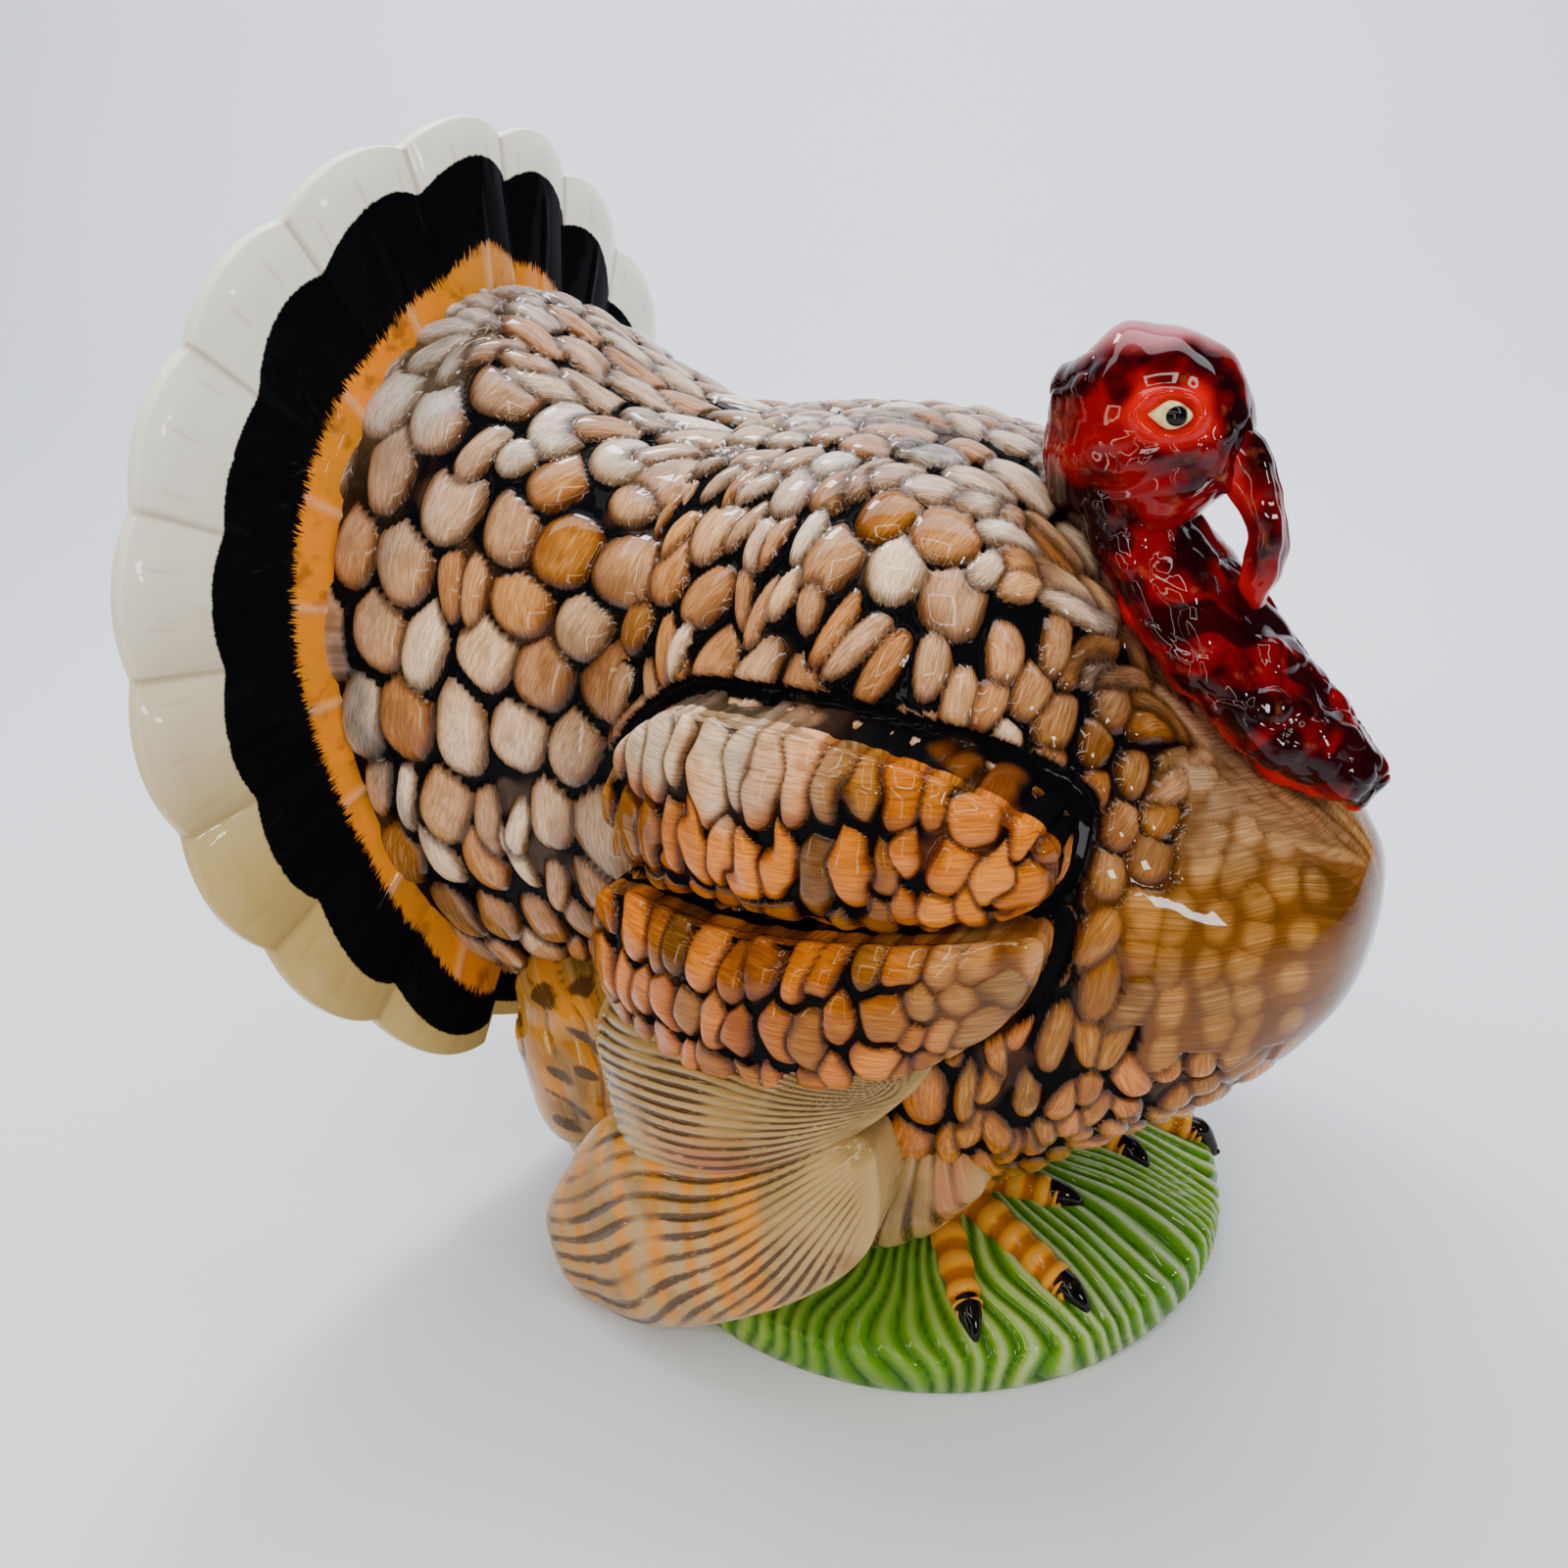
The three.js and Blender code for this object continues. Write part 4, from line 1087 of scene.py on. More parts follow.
@dataclass(frozen=True)
class Plumage:
    """The feathered body and the tail coverts."""

    body: BodyForm
    fan: FanForm
    relief: float = 2.8
    body_cap: float = 0.03
    cover_half_width: float = 74.0
    cover_half_height: float = 108.0
    cover_drop: float = 12.0
    cover_start: float = 0.04
    cover_joint: float = 0.13
    cover_end: float = 0.95
    cover_close: float = 0.05
    cover_plain: float = 0.945
    waviness: float = 0.9
    crease_edge: tuple[float, float] = (2.8, 1.4)
    overlap: float = 0.05
    sunk: float = 2.6

    def build(self) -> tuple[Piece, Piece]:
        """Build the body and the tail coverts."""
        material = plumage_glaze("Plumage_glaze")
        return self._build_body(material), self._build_cover(material)

    def _build_body(self, material: Material) -> Piece:
        """Build the breast, back and belly.

        Args:
            material: Glaze of the plumage.

        Returns:
            The piece.
        """
        skin = Skin("Body_plumage", 410, 238)
        cap = self.body_cap
        # Fewer columns run under the belly than over the back
        skin.turn = np.interp((skin.turn + 90) % 360, (0, 36, 324, 360), (0, 60, 300, 360)) - 90
        fine = np.linspace(0.0, 1.0, 400)
        line = self.body.section(fine, np.full(400, 120.0))
        run = np.concatenate([[0], np.cumsum(np.linalg.norm(np.diff(line, axis=0), axis=1))])
        share = np.clip((skin.fall - cap) / (1 - cap), 0, 1)
        along = np.interp(share * run[-1], run, fine)
        skin.place(self.body.section(along, skin.turn))
        middle = self.body.section(np.zeros(2), np.array([0.0, 180.0])).mean(0)
        inside = np.clip(skin.fall / cap, 0, 1)
        skin.place(blend(middle, skin.points, inside))
        lattice = Lattice(self.body.section, 0.04, tuple(range(24)), -1.0, SEED, narrow_from=0.54)
        relief = Relief.of(lattice.feathers(), self._wavy(skin.points), SEED)
        points = skin.points
        smooth = self._breast(relief.middle)
        crease = self._crease(points)
        height = relief.height * (1 - smooth) + smooth * (0.9 + 0.04 * ripple(points, 30, 5))
        outer = smoothstep(0.0, 0.03, along) * smoothstep(0.0, 1.0, inside)
        skin.carve(self.relief * (height * (1 - crease) - 1) - (1 - outer) * 1.2 - crease)
        colours = self._body_tints(points, relief)
        tawny = blend(Tint.BREAST.linear, Tint.DUSK.linear,
                      smoothstep(140.0, 175.0, points[:, 2] + 10 * ripple(points, 35, 9)))
        tawny = blend(tawny, Tint.AMBER.linear * 0.8, 0.7 * smoothstep(125.0, 95.0, points[:, 2]))
        ink = np.maximum(crease, 1 - smooth)
        cover = np.minimum(np.maximum(relief.cover, 1.4 * smooth - 0.9), 0.8 - 1.6 * crease)
        x, y, z = points.T
        strokes = np.stack([z + 0.15 * y + 2 * ripple(points, 40, 8), 0.8 * (x - y), 0.05 * x], 1)
        brush = blend(relief.brush, strokes, (smooth > 0.6).astype(float))
        painted(skin, relief, blend(colours, tawny, smooth), ink, cover, brush)
        return skin.finish(material, "plumage_glaze", "body")

    def _wavy(self, points: Array) -> Array:
        """Points moved a little, so that the feathers' outlines aren't perfect ovals."""
        shift = np.stack([ripple(points, 17, seed) for seed in (61, 62, 63)], 1)
        return points + self.waviness * shift

    def _crease(self, points: Array) -> Array:
        """Dark crease round the wings.

        Args:
            points: Points of the body.

        Returns:
            Its share at each point.
        """
        flat = points[:, [0, 2]]
        crease = np.zeros(len(points))
        side = np.abs(points[:, 1]) > 40
        for outline in (SHOULDER_OUTLINE, COVERT_OUTLINE):
            rim = Lobe("rim", outline, 0.0, self.body).outline_points(160)
            apart = np.full(len(points), 99.0)
            apart[side] = np.sqrt(((flat[side, None] - rim) ** 2).sum(2).min(1))
            crease = np.maximum(crease, smoothstep(*self.crease_edge, apart))
        return crease

    @staticmethod
    def _body_tints(points: Array, relief: Relief) -> Array:
        """Base colours of the body's feathers.

        Args:
            points: Points of the body.
            relief: Its feathers.

        Returns:
            Linear colours.
        """
        x, z = points[:, 0], points[:, 2]
        front = smoothstep(25.0, 75.0, x)
        warm = smoothstep(196.0, 148.0, z - 22 * front + 6 * ripple(points, 45, 7))
        # Grey and white along the top of the back: partly the feathers' own grey paint, partly
        # painted sheen of the bright room mirrored at a grazing angle; the grey near the neck is
        # the feathers' own
        grey_and_sheen = smoothstep(212.0, 238.0, z + 9 * ripple(points, 40, 3))
        grey_and_sheen = np.maximum(grey_and_sheen, 0.75 * smoothstep(48, 72, x) * smoothstep(178, 200, z))
        colours = feather_tints(relief, 1.15 * warm, grey_and_sheen * 0.8)
        # Painted shade: the front of the body is darker under the neck
        neck_shade = smoothstep(50.0, 72.0, x + 8 * ripple(points, 30, 17)) * smoothstep(150.0, 175.0, z)
        colours = colours * (1 - 0.45 * neck_shade)[:, None]
        # Darker brown in the valley at the waist: partly dark brown feathers, partly painted shade
        # in the valley
        waist = bell(x + 48 - 0.1 * (z - 150), 0.0, 10.0) * smoothstep(225.0, 190.0, z)
        return blend(colours, Tint.BROWN.linear * 0.6, 0.75 * waist)

    @staticmethod
    def _breast(points: Array) -> Array:
        """Smooth brushed breast.

        Args:
            points: Points of the body.

        Returns:
            Its share at each point.
        """
        wobble = 7 * ripple(points, 22, 21)
        start = read_table(BREAST_LINE, points[:, 2])[0]
        front = smoothstep(-6.0, 10.0, points[:, 0] + wobble - start)
        under = smoothstep(200.0, 185.0, points[:, 2])
        return front * under

    def cover_point(self, share: Array, turn: Array) -> Array:
        """Points on the tail coverts, which flare from the body to the fan.

        Args:
            share: Shares of the way from the waist to the fan.
            turn: Degrees from the left side over the back.

        Returns:
            Points in millimetres.
        """
        ahead = np.maximum(-share, 0.0)
        start = self.body.section(np.zeros_like(share), turn)
        side = self.cover_half_width * np.cos(np.radians(turn))
        up = self.cover_half_height * np.sin(np.radians(turn)) - self.cover_drop
        rim = np.stack([self.fan.front(side, up) - self.sunk, side, self.fan.middle + up], -1)
        reach = np.clip(share, 0.0, 1.0)
        spot = blend(start, rim, read_table(COVER_EASE, reach)[0])
        spot[..., 0] = start[..., 0] + (rim[..., 0] - start[..., 0]) * reach
        front = self.body.section(ahead, turn)
        return np.where((share < 0)[..., None], front, spot)

    def _build_cover(self, material: Material) -> Piece:
        """Build the tail coverts.

        Args:
            material: Glaze of the plumage.

        Returns:
            The piece.
        """
        skin = Skin("Tail_covert_plumage", 400, 200)
        rows = [0, self.cover_start, self.cover_joint, self.cover_end, 1]
        share = np.interp(skin.fall, rows, [-self.overlap, -self.overlap, 0, 1, 1])
        skin.place(self.cover_point(share, skin.turn))
        ends = [self.cover_point(np.full(2, end), np.array([0.0, 180.0])).mean(0)
                for end in (-self.overlap, 1.0)]
        skin.place(blend(ends[0], skin.points, np.clip(skin.fall / self.cover_start, 0, 1)))
        closing = np.clip((skin.fall - self.cover_end) / self.cover_close, 0, 1)
        skin.place(blend(skin.points, ends[1], closing))
        spots = skin.points.copy()
        behind = self.fan.front(spots[:, 1], spots[:, 2] - self.fan.middle) - 0.3 * self.sunk
        spots[:, 0] = np.where(skin.fall > self.cover_end, behind, spots[:, 0])
        skin.place(spots)
        stations = tuple(-j for j in range(11))
        lattice = Lattice(self.cover_point, 0.1, stations, 1.0, SEED + 2, narrow_share=0.12)
        points = skin.points
        relief = Relief.of(lattice.feathers(), self._wavy(points), SEED + 2)
        sink = smoothstep(0.0, -self.overlap, share) * 2.5
        plain = skin.fall > self.cover_plain
        lift = np.where(plain, 0.0, self.relief * (relief.height - 1) - sink)
        skin.carve(lift)
        rim = smoothstep(0.66, 0.84, share + 0.05 * ripple(points, 20, 13))
        # The top of the flare is pale grey-white with less ink: partly grey feathers, partly
        # painted sheen of the bright room mirrored at a grazing angle
        top = smoothstep(205.0, 245.0, points[:, 2] + 10 * ripple(points, 30, 4))
        low = smoothstep(150.0, 80.0, points[:, 2])
        slate = smoothstep(0.1, 0.7, ripple(points * np.array([1.0, 1.0, 0.4]), 26, 15))
        colours = feather_tints(relief, 0.75 * low, np.maximum(top * 0.8, rim * 0.35))
        colours = blend(colours, Tint.SLATE.linear * 0.7, 0.75 * rim * slate * (1 - low))
        colours = blend(colours, Tint.MIST.linear, 0.7 * top * rim * (1 - slate))
        colours = blend(colours, Tint.OLIVE.linear, 0.55 * low * rim)
        # Darker brown in the valley at the waist: partly dark brown feathers, partly painted shade
        # in the valley
        waist = smoothstep(0.28, 0.05, share) * smoothstep(225.0, 190.0, points[:, 2])
        colours = blend(colours, Tint.BROWN.linear * 0.7, 0.6 * waist)
        painted(skin, relief, colours, 1 - 0.6 * top * rim, relief.cover, relief.brush)
        return skin.finish(material, "plumage_glaze", "tail_coverts")


@dataclass(frozen=True)
class TailFan:
    """The corrugated tail fan."""

    form: FanForm
    thickness: float = 7.0
    edge: float = 4.0
    quill_height: float = 0.9
    quill_width: float = 1.1
    groove_depth: float = 0.5
    groove_width: float = 0.035
    valley_width: float = 0.06
    groove_places: tuple[float, ...] = (0.0, 0.36, 0.7)

    def build(self) -> Piece:
        """Build the fan with its quills, grooves and painted bands.

        Returns:
            The piece.
        """
        skin = Skin("Tail_fan_feathers", 510, 190)
        back = skin.fall > 0.5
        rim = np.interp(skin.fall, *FAN_RIM)
        share = np.interp(skin.fall, *FAN_ROWS)
        angle = skin.turn
        depth = rim * np.interp(share, [0, 0.5, 1], [self.thickness, self.thickness, self.edge])
        skin.place(self.form.point(angle, share, depth))
        across = self.form.across(angle)
        arc = np.radians(self.form.pitch / 2) * across * self.form.half_height * share
        front = (rim < 0.5).astype(float)
        covered = (np.abs(angle) < self.form.pitch * self.form.count / 2 - 1).astype(float)
        quill = bell(arc, 0.0, self.quill_width) * front * covered
        quill *= smoothstep(0.45, 0.55, share) * smoothstep(0.93, 0.8, share)
        groove = self._grooves(across, share) * front * covered
        skin.carve(self.quill_height * quill - self.groove_depth * groove)
        distance = share * self.form.half_height
        borders = read_table(FAN_BORDERS, np.abs(angle)) * self.form.half_height
        skin.note("outer", np.where(back & (rim > 0.5), 5.0, distance - borders[0]))
        skin.note("inner", distance - borders[1]).note("groove", groove)
        skin.note("quill", quill * 0.7)
        skin.note("warm", smoothstep(250.0, 120.0, skin.points[:, 2]))
        skin.note("brush", np.stack([arc, distance, np.round(angle / self.form.pitch) * 31.0], 1))
        return skin.finish(fan_glaze(), "tail_glaze", "tail_fan")

    def _grooves(self, across: Array, share: Array) -> Array:
        """Fine grooves over each feather's rim, and the valleys between feathers.

        Args:
            across: Places across the feathers.
            share: Shares of the fan's outline.

        Returns:
            Depths from 0 to 1.
        """
        spread = np.abs(across)
        lines = np.zeros_like(across)
        for middle in self.groove_places:
            lines += bell(spread, middle, self.groove_width)
        lines *= smoothstep(0.84, 0.93, share) * smoothstep(1.0, 0.95, share)
        valley = bell(spread, 1.0, self.valley_width) * smoothstep(0.6, 0.75, share)
        return np.clip(lines * 0.6 + valley, 0, 1)


@dataclass(frozen=True)
class Lobe:
    """One layer of feathers of a folded wing, lying on the body's side."""

    name: str
    outline: Rows
    rise: float
    body: BodyForm
    root: float = 34.0
    drop: float = 10.0
    flare: float = 12.0
    flare_top: float = 0.36
    fixed_side: float | None = None
    crest: float = 0.72
    jitter: float = 0.12
    length_share: float = 0.62
    width_share: float = 0.55

    def outline_points(self, count: int = 480) -> Array:
        """Closed smooth outline in the side view.

        Args:
            count: Number of its points.

        Returns:
            Rows of x and z in millimetres.
        """
        along, up = np.asarray(self.outline, float).T
        corners = np.stack(self.body.point(along, up), 1)
        total = len(corners)
        steps = np.arange(count) * total / count
        i = steps.astype(int)
        t = (steps - i)[:, None]
        p = [corners[(i + k) % total] for k in (-1, 0, 1, 2)]
        return 0.5 * (
            2 * p[1] + (p[2] - p[0]) * t + (2 * p[0] - 5 * p[1] + 4 * p[2] - p[3]) * t**2
            + (3 * p[1] - p[0] - 3 * p[2] + p[3]) * t**3
        )

    def side(self, x: Array, z: Array) -> Array:
        """How far out the surface is that the lobe lies on.

        Args:
            x: Places along the figure.
            z: Heights.

        Returns:
            Half widths.
        """
        if self.fixed_side is not None:
            return np.full_like(x, self.fixed_side)
        top = self.body.bottom + self.body.height * self.flare_top
        out = np.maximum(0.0, top - z) * math.tan(math.radians(self.flare))
        return self.body.side(x) + out

    def skin(self, around: int = 240, down: int = 110) -> tuple[Skin, Array]:
        """The lobe's smooth skin, and how far from its outline each point is.

        Args:
            around: Columns round the lobe.
            down: Rows from its crest to its root.

        Returns:
            The skin, and each point's share of the way from the outline to the middle.
        """
        skin = Skin(self.name, around, down)
        outline = self.outline_points()
        middle = outline.mean(0)
        turn = (skin.turn % 360) / 360 * len(outline)
        i = turn.astype(int) % len(outline)
        edge = blend(outline[i], outline[(i + 1) % len(outline)], turn - turn.astype(int))
        size, stand = self._profile(skin.fall)
        spot = middle + (edge - middle) * size[:, None]
        out = self.side(spot[:, 0], spot[:, 1]) + stand
        skin.place(np.stack([spot[:, 0], -out, spot[:, 1]], 1))
        return skin, 1 - size

    def _profile(self, fall: Array) -> tuple[Array, Array]:
        """Rings from the crest over the edge and down the wall to the root.

        Args:
            fall: Shares of the way from the crest to the root.

        Returns:
            Each ring's size as a share of the outline, and its stand over the surface.
        """
        edge = self.rise - self.drop
        crown = np.clip(fall / self.crest, 0, 1)
        swell = np.cos(np.arcsin(np.clip(crown**1.15, 0, 1)))
        stand = edge + self.drop * swell**1.5
        size = crown**0.9
        wall = fall > self.crest
        down = np.clip((fall - self.crest) / (1 - self.crest), 0, 1)
        stand = np.where(wall, edge - (self.root + edge) * np.clip(down / 0.8, 0, 1), stand)
        size = np.where(wall, np.interp(down, [0, 0.5, 0.8, 1], [1, 0.93, 0.8, 0]), size)
        return size, stand

    def feathers(self, column: float, row: float, seed: int, lean: float = -0.12,
                 front: tuple[float, float] = (22.0, 48.0)) -> Feathers:
        """Feathers in rows along the lobe's upper edge, long at its rear and small at its front.

        Args:
            column: Spacing along the lobe.
            row: Spacing down its rear.
            seed: Chooses the jitter.
            lean: How far the tips point backwards.
            front: Where the feathers turn from long to small.

        Returns:
            The feathers, which are told apart in the side view only.
        """
        rng = np.random.default_rng(seed)
        outline = self.outline_points()
        low, high = outline.min(0), outline.max(0)
        spots = []
        for k in range(-1, int(2 * (high[1] - low[1]) / row) + 2):
            x = low[0] - column * (0.5 + 0.5 * (k % 2))
            while x < high[0] + column:
                small = float(np.interp(x, front, (0.0, 1.0)))
                drop, wide = row * (1 - 0.42 * small), column * (1 - 0.1 * small)
                near = np.abs(outline[:, 0] - x) < 6
                top = outline[near, 1].max() if near.any() else high[1]
                z = top - drop * (k + 0.42 + rng.normal(0, self.jitter))
                spots.append((x + rng.normal(0, self.jitter) * wide, 0.0, z, drop, wide))
                x += wide
        place = np.array(spots)[:, :3]
        drop, wide = np.array(spots)[:, 3:].T
        sway = lean + rng.normal(0, self.jitter, len(place))
        tip = unit(np.stack([sway, np.zeros(len(place)), -np.ones(len(place))], 1))
        side = np.stack([-tip[:, 2], np.zeros(len(place)), tip[:, 0]], 1)
        size = rng.uniform(0.88, 1.08, len(place))
        length, width = drop * self.length_share * size, wide * self.width_share * size
        return Feathers(place, tip, side, length, width)


@dataclass(frozen=True)
class Wing:
    """One folded wing: shoulder, coverts, secondaries and primaries, with the thigh."""

    side: str
    body: BodyForm
    relief: float = 2.8
    rib: float = 0.9
    wall_from: float = 0.66
    ground_from: float = 0.75

    def build(self, plumage: Material, quills: Material) -> list[Piece]:
        """Build the wing's four layers and the thigh.

        Args:
            plumage: Glaze of the small feathers.
            quills: Glaze of the flight feathers.

        Returns:
            The pieces.
        """
        pieces = []
        for name, outline, rise, column, row, seed in FEATHERED_LAYERS:
            lobe = Lobe(name, outline, rise, self.body)
            pieces.append(self._feathered(lobe, column, row, plumage, seed))
        for name, outline, rise, pivot, pitch, fixed_side in RIBBED_LAYERS:
            lobe = Lobe(name, outline, rise, self.body, fixed_side=fixed_side)
            pieces.append(self._ribbed(lobe, pivot, pitch, quills))
        return pieces

    def _finish(self, skin: Skin, lobe: Lobe, material: Material, slot: str) -> Piece:
        """Name a layer, mirror it for the left side and finish it.

        Args:
            skin: The carved skin.
            lobe: Its lobe.
            material: Its glaze.
            slot: The record's material slot.

        Returns:
            The piece.
        """
        node = f"{self.side}_thigh" if lobe.name == "thigh" else f"{self.side}_wing_{lobe.name}"
        skin.mesh.name = f"{node}_feathers"
        if self.side == "left":
            skin.mirror()
        return skin.finish(material, slot, node)

    def _feathered(self, lobe: Lobe, column: float, row: float, material: Material,
                   seed: int) -> Piece:
        """Build a layer of small feathers.

        Args:
            lobe: Its lobe.
            column: Spacing of the feathers along it.
            row: Their spacing down its rear.
            material: Its glaze.
            seed: Chooses the jitter.

        Returns:
            The piece.
        """
        skin, inward = lobe.skin(380, 150)
        flat = skin.points * np.array([1.0, 0.0, 1.0])
        wavy = flat + np.outer(1.5 * ripple(flat, 15, seed), (1.0, 0.0, 0.0))
        wavy += np.outer(0.8 * ripple(flat, 9, seed + 1), (1.0, 0.0, 1.0))
        relief = Relief.of(lobe.feathers(column, row, seed), wavy, seed)
        points = skin.points
        x, z = points[:, 0], points[:, 2]
        pale_low = np.zeros(len(x))
        if lobe.name == "coverts":
            pale_low = smoothstep(0.2, 0.05, inward) * smoothstep(112.0, 92.0, z + 0.35 * (x - 10))
            pale_front = smoothstep(36.0, 60.0, x + 4 * ripple(flat, 20, 5))
            pale_low = np.maximum(pale_low, pale_front * 0.8)
        edge = smoothstep(0.0, 0.06, inward)
        height = relief.height * (1 - pale_low) + pale_low * 0.8
        skin.carve(self.relief * (height * (0.2 + 0.8 * edge) - 1))
        rear = smoothstep(36.0, 0.0, x)
        top = smoothstep(168.0, 180.0, z + 5 * ripple(points, 20, seed)) * rear
        first, second, third = relief.shares.T
        base = coats(
            Tint.HONEY.linear,
            (Tint.ORANGE, first),
            (Tint.PEACH, 0.3 * smoothstep(0.7, 0.95, second)),
            (Tint.BROWN, 0.5 * smoothstep(0.35, 0.0, second)),
            (Tint.OLIVE, 0.7 * smoothstep(0.6, 0.95, third)),
            (Tint.CREAM, np.clip(top * (0.6 + 0.5 * third), 0, 1)),
        )
        if lobe.name == "coverts":
            base = base * np.array([0.9, 0.85, 0.6])
            base = blend(base, Tint.SAND.linear, pale_low * 0.6)
        rim = np.where(skin.fall > self.ground_from, -1.0, 1.0)
        strokes = np.stack([z, 0.6 * x, relief.shares[:, 0] * 40.0], 1)
        ink = np.clip((1 - 0.25 * top) * (1 - pale_low), 0, 1)
        wall = np.maximum(relief.cover, np.where(skin.fall > self.wall_from, 0.3, -1.0))
        painted(skin, relief, base, ink, np.minimum(wall, rim), strokes)
        return self._finish(skin, lobe, material, "wing_glaze")

    def _ribbed(self, lobe: Lobe, pivot: tuple[float, float], pitch: float,
                material: Material) -> Piece:
        """Build a layer of long flight feathers, or the thigh.

        Args:
            lobe: Its lobe.
            pivot: Where its ribs would meet, as x and z.
            pitch: Degrees from rib to rib.
            material: Its glaze.

        Returns:
            The piece.
        """
        skin, inward = lobe.skin()
        x, z = skin.points[:, 0] - pivot[0], skin.points[:, 2] - pivot[1]
        reach = np.hypot(x, z)
        angle = np.degrees(np.arctan2(-z, -x)) + 2.5 * ripple(skin.points, 60, 51) * (reach / 90)
        span = angle / pitch
        across = rib(span)
        edge = smoothstep(0.0, 0.08, inward)
        deep = self.rib * (0.6 if lobe.name == "primaries" else 0.8)
        skin.carve(-deep * across**2 * edge - 0.3 * (1 - edge))
        points = skin.points
        ink = smoothstep(0.3, 0.9, np.abs(across)) * smoothstep(0.02, 0.1, inward)
        ink *= 0.75 + 0.5 * ripple(points, 18, 61)
        base = self._ground(lobe, points, inward)
        skin.paint(base).note("ink", np.clip(ink, 0, 1))
        wide = across * np.radians(pitch / 2) * reach
        skin.note("brush", np.stack([wide, reach, np.round(span) * 17.0], 1))
        return self._finish(skin, lobe, material, "quill_glaze")

    @staticmethod
    def _ground(lobe: Lobe, points: Array, inward: Array) -> Array:
        """Ground colour of a ribbed layer, with its bars and blushes.

        Args:
            lobe: Its lobe.
            points: Points of the layer.
            inward: Share of the way from the outline to the middle.

        Returns:
            Linear colours.
        """
        x, z = points[:, 0], points[:, 2]
        wave = ripple(points, 30, 71)
        base = blend(Tint.TAN.linear, Tint.SAND.linear, 0.5 + 0.5 * wave)
        rim = smoothstep(0.07, 0.0, inward)
        if lobe.name == "secondaries":
            spot = np.exp(-(((x + 8) / 20) ** 2 + ((z - 74) / 9) ** 2))
            low = 0.5 * smoothstep(80.0, 105.0, z)
            base = coats(base, (Tint.BLUSH, 0.75 * spot), (Tint.OLIVE, low))
        elif lobe.name == "primaries":
            bars = np.zeros_like(x)
            for middle, wide in PRIMARY_BARS:
                bars += bell(x + 0.18 * (z - 50), middle, wide)
            fade = smoothstep(-2.0, 45.0, z + 6 * wave)
            base = blend(base, Tint.AMBER.linear, np.clip(1.3 * bars, 0, 1) * (0.3 + 0.7 * fade))
        else:
            low = 0.5 * smoothstep(50.0, 30.0, z)
            base = coats(base, (Tint.BLUSH, 0.7 * bell(x, 44.0, 5.0)), (Tint.SAND, low))
        return blend(base, Tint.SAND.linear, 0.8 * rim)


@dataclass(frozen=True)
class Undertail:
    """The tuft of feathers under the tail coverts."""

    body: BodyForm
    height: float = 80.0
    half_length: float = 34.0
    half_width: float = 68.0
    clearance: float = 10.0
    fullness: float = 0.62
    cap: float = 0.04
    relief: float = 0.9
    spacing: tuple[float, float] = (13.0, 9.0)

    def build(self, material: Material) -> Piece:
        """Build the tuft with its streaked feathers.

        Args:
            material: Its glaze.

        Returns:
            The piece.
        """
        skin = Skin("Undertail_feathers", 300, 120)
        share = np.clip((1 - skin.fall - self.cap) / (1 - 2 * self.cap), 0, 1)
        along, length, width = read_table(UNDERTAIL_SHARES, share)
        close = np.clip(np.minimum(skin.fall, 1 - skin.fall) / self.cap, 0, 1)
        turn = np.radians(skin.turn)
        back, side = fuller(np.cos(turn), self.fullness), fuller(np.sin(turn), self.fullness)
        x = self.body.length * along - self.body.rear + self.half_length * length * back * close
        y = self.half_width * width * side * close
        skin.place(np.stack([x, y, self.clearance + self.height * share], 1))
        points = skin.points
        back_on, side_on = self.spacing
        span = points[:, 1] / side_on + points[:, 0] / back_on + 0.3 * ripple(points, 30, 81)
        across = rib(span)
        skin.carve(-self.relief * across**2)
        base = blend(Tint.AMBER.linear, Tint.SAND.linear, smoothstep(55.0, 28.0, points[:, 2]))
        base = blend(base, Tint.OLIVE.linear, 0.5 + 0.4 * ripple(points, 18, 83))
        dash = smoothstep(0.35, 0.8, ripple(points * np.array([1, 1, 2.2]), 14, 85))
        ink = np.maximum(smoothstep(0.75, 1.0, np.abs(across)) * 0.6, dash)
        skin.paint(base).note("ink", ink)
        skin.note("brush", np.stack([across * 4.5, points[:, 2], np.round(span) * 13.0], 1))
        return skin.finish(material, "quill_glaze", "undertail")


def swept(skin: Skin, stops: Array, cap: float = 0.12) -> Array:
    """Points of a swept form whose path lies in a plane across the figure's width.

    Args:
        skin: The skin to place.
        stops: Rows of x, y, z, half width and half depth along the path.
        cap: Share of the skin that rounds off each end.

    Returns:
        The share along the path at each vertex.
    """
    keys = np.linspace(0.0, 1.0, len(stops))
    rows = np.column_stack([keys, stops])
    share = np.clip((skin.fall - cap) / (1 - 2 * cap), 0, 1)
    x, y, z, wide, deep = read_table(rows, share)
    ahead = read_table(rows, np.clip(share + 0.01, 0, 1))[:3]
    behind = read_table(rows, np.clip(share - 0.01, 0, 1))[:3]
    along = unit((ahead - behind).T)
    across = unit(np.cross(np.array([0.0, 1.0, 0.0]), along))
    side = np.cross(along, across)
    start = np.clip(skin.fall / cap, 0, 1)
    end = np.clip((1 - skin.fall) / cap, 0, 1)
    swell = np.sin(start * math.pi / 2) * np.sin(end * math.pi / 2)
    reach = (np.cos(end * math.pi / 2) - np.cos(start * math.pi / 2)) * deep * 0.5
    turn = np.radians(skin.turn)
    offset = side * (wide * np.cos(turn) * swell)[:, None]
    offset += across * (deep * np.sin(turn) * swell)[:, None]
    skin.place(np.stack([x, y, z], 1) + offset + along * reach[:, None])
    return share


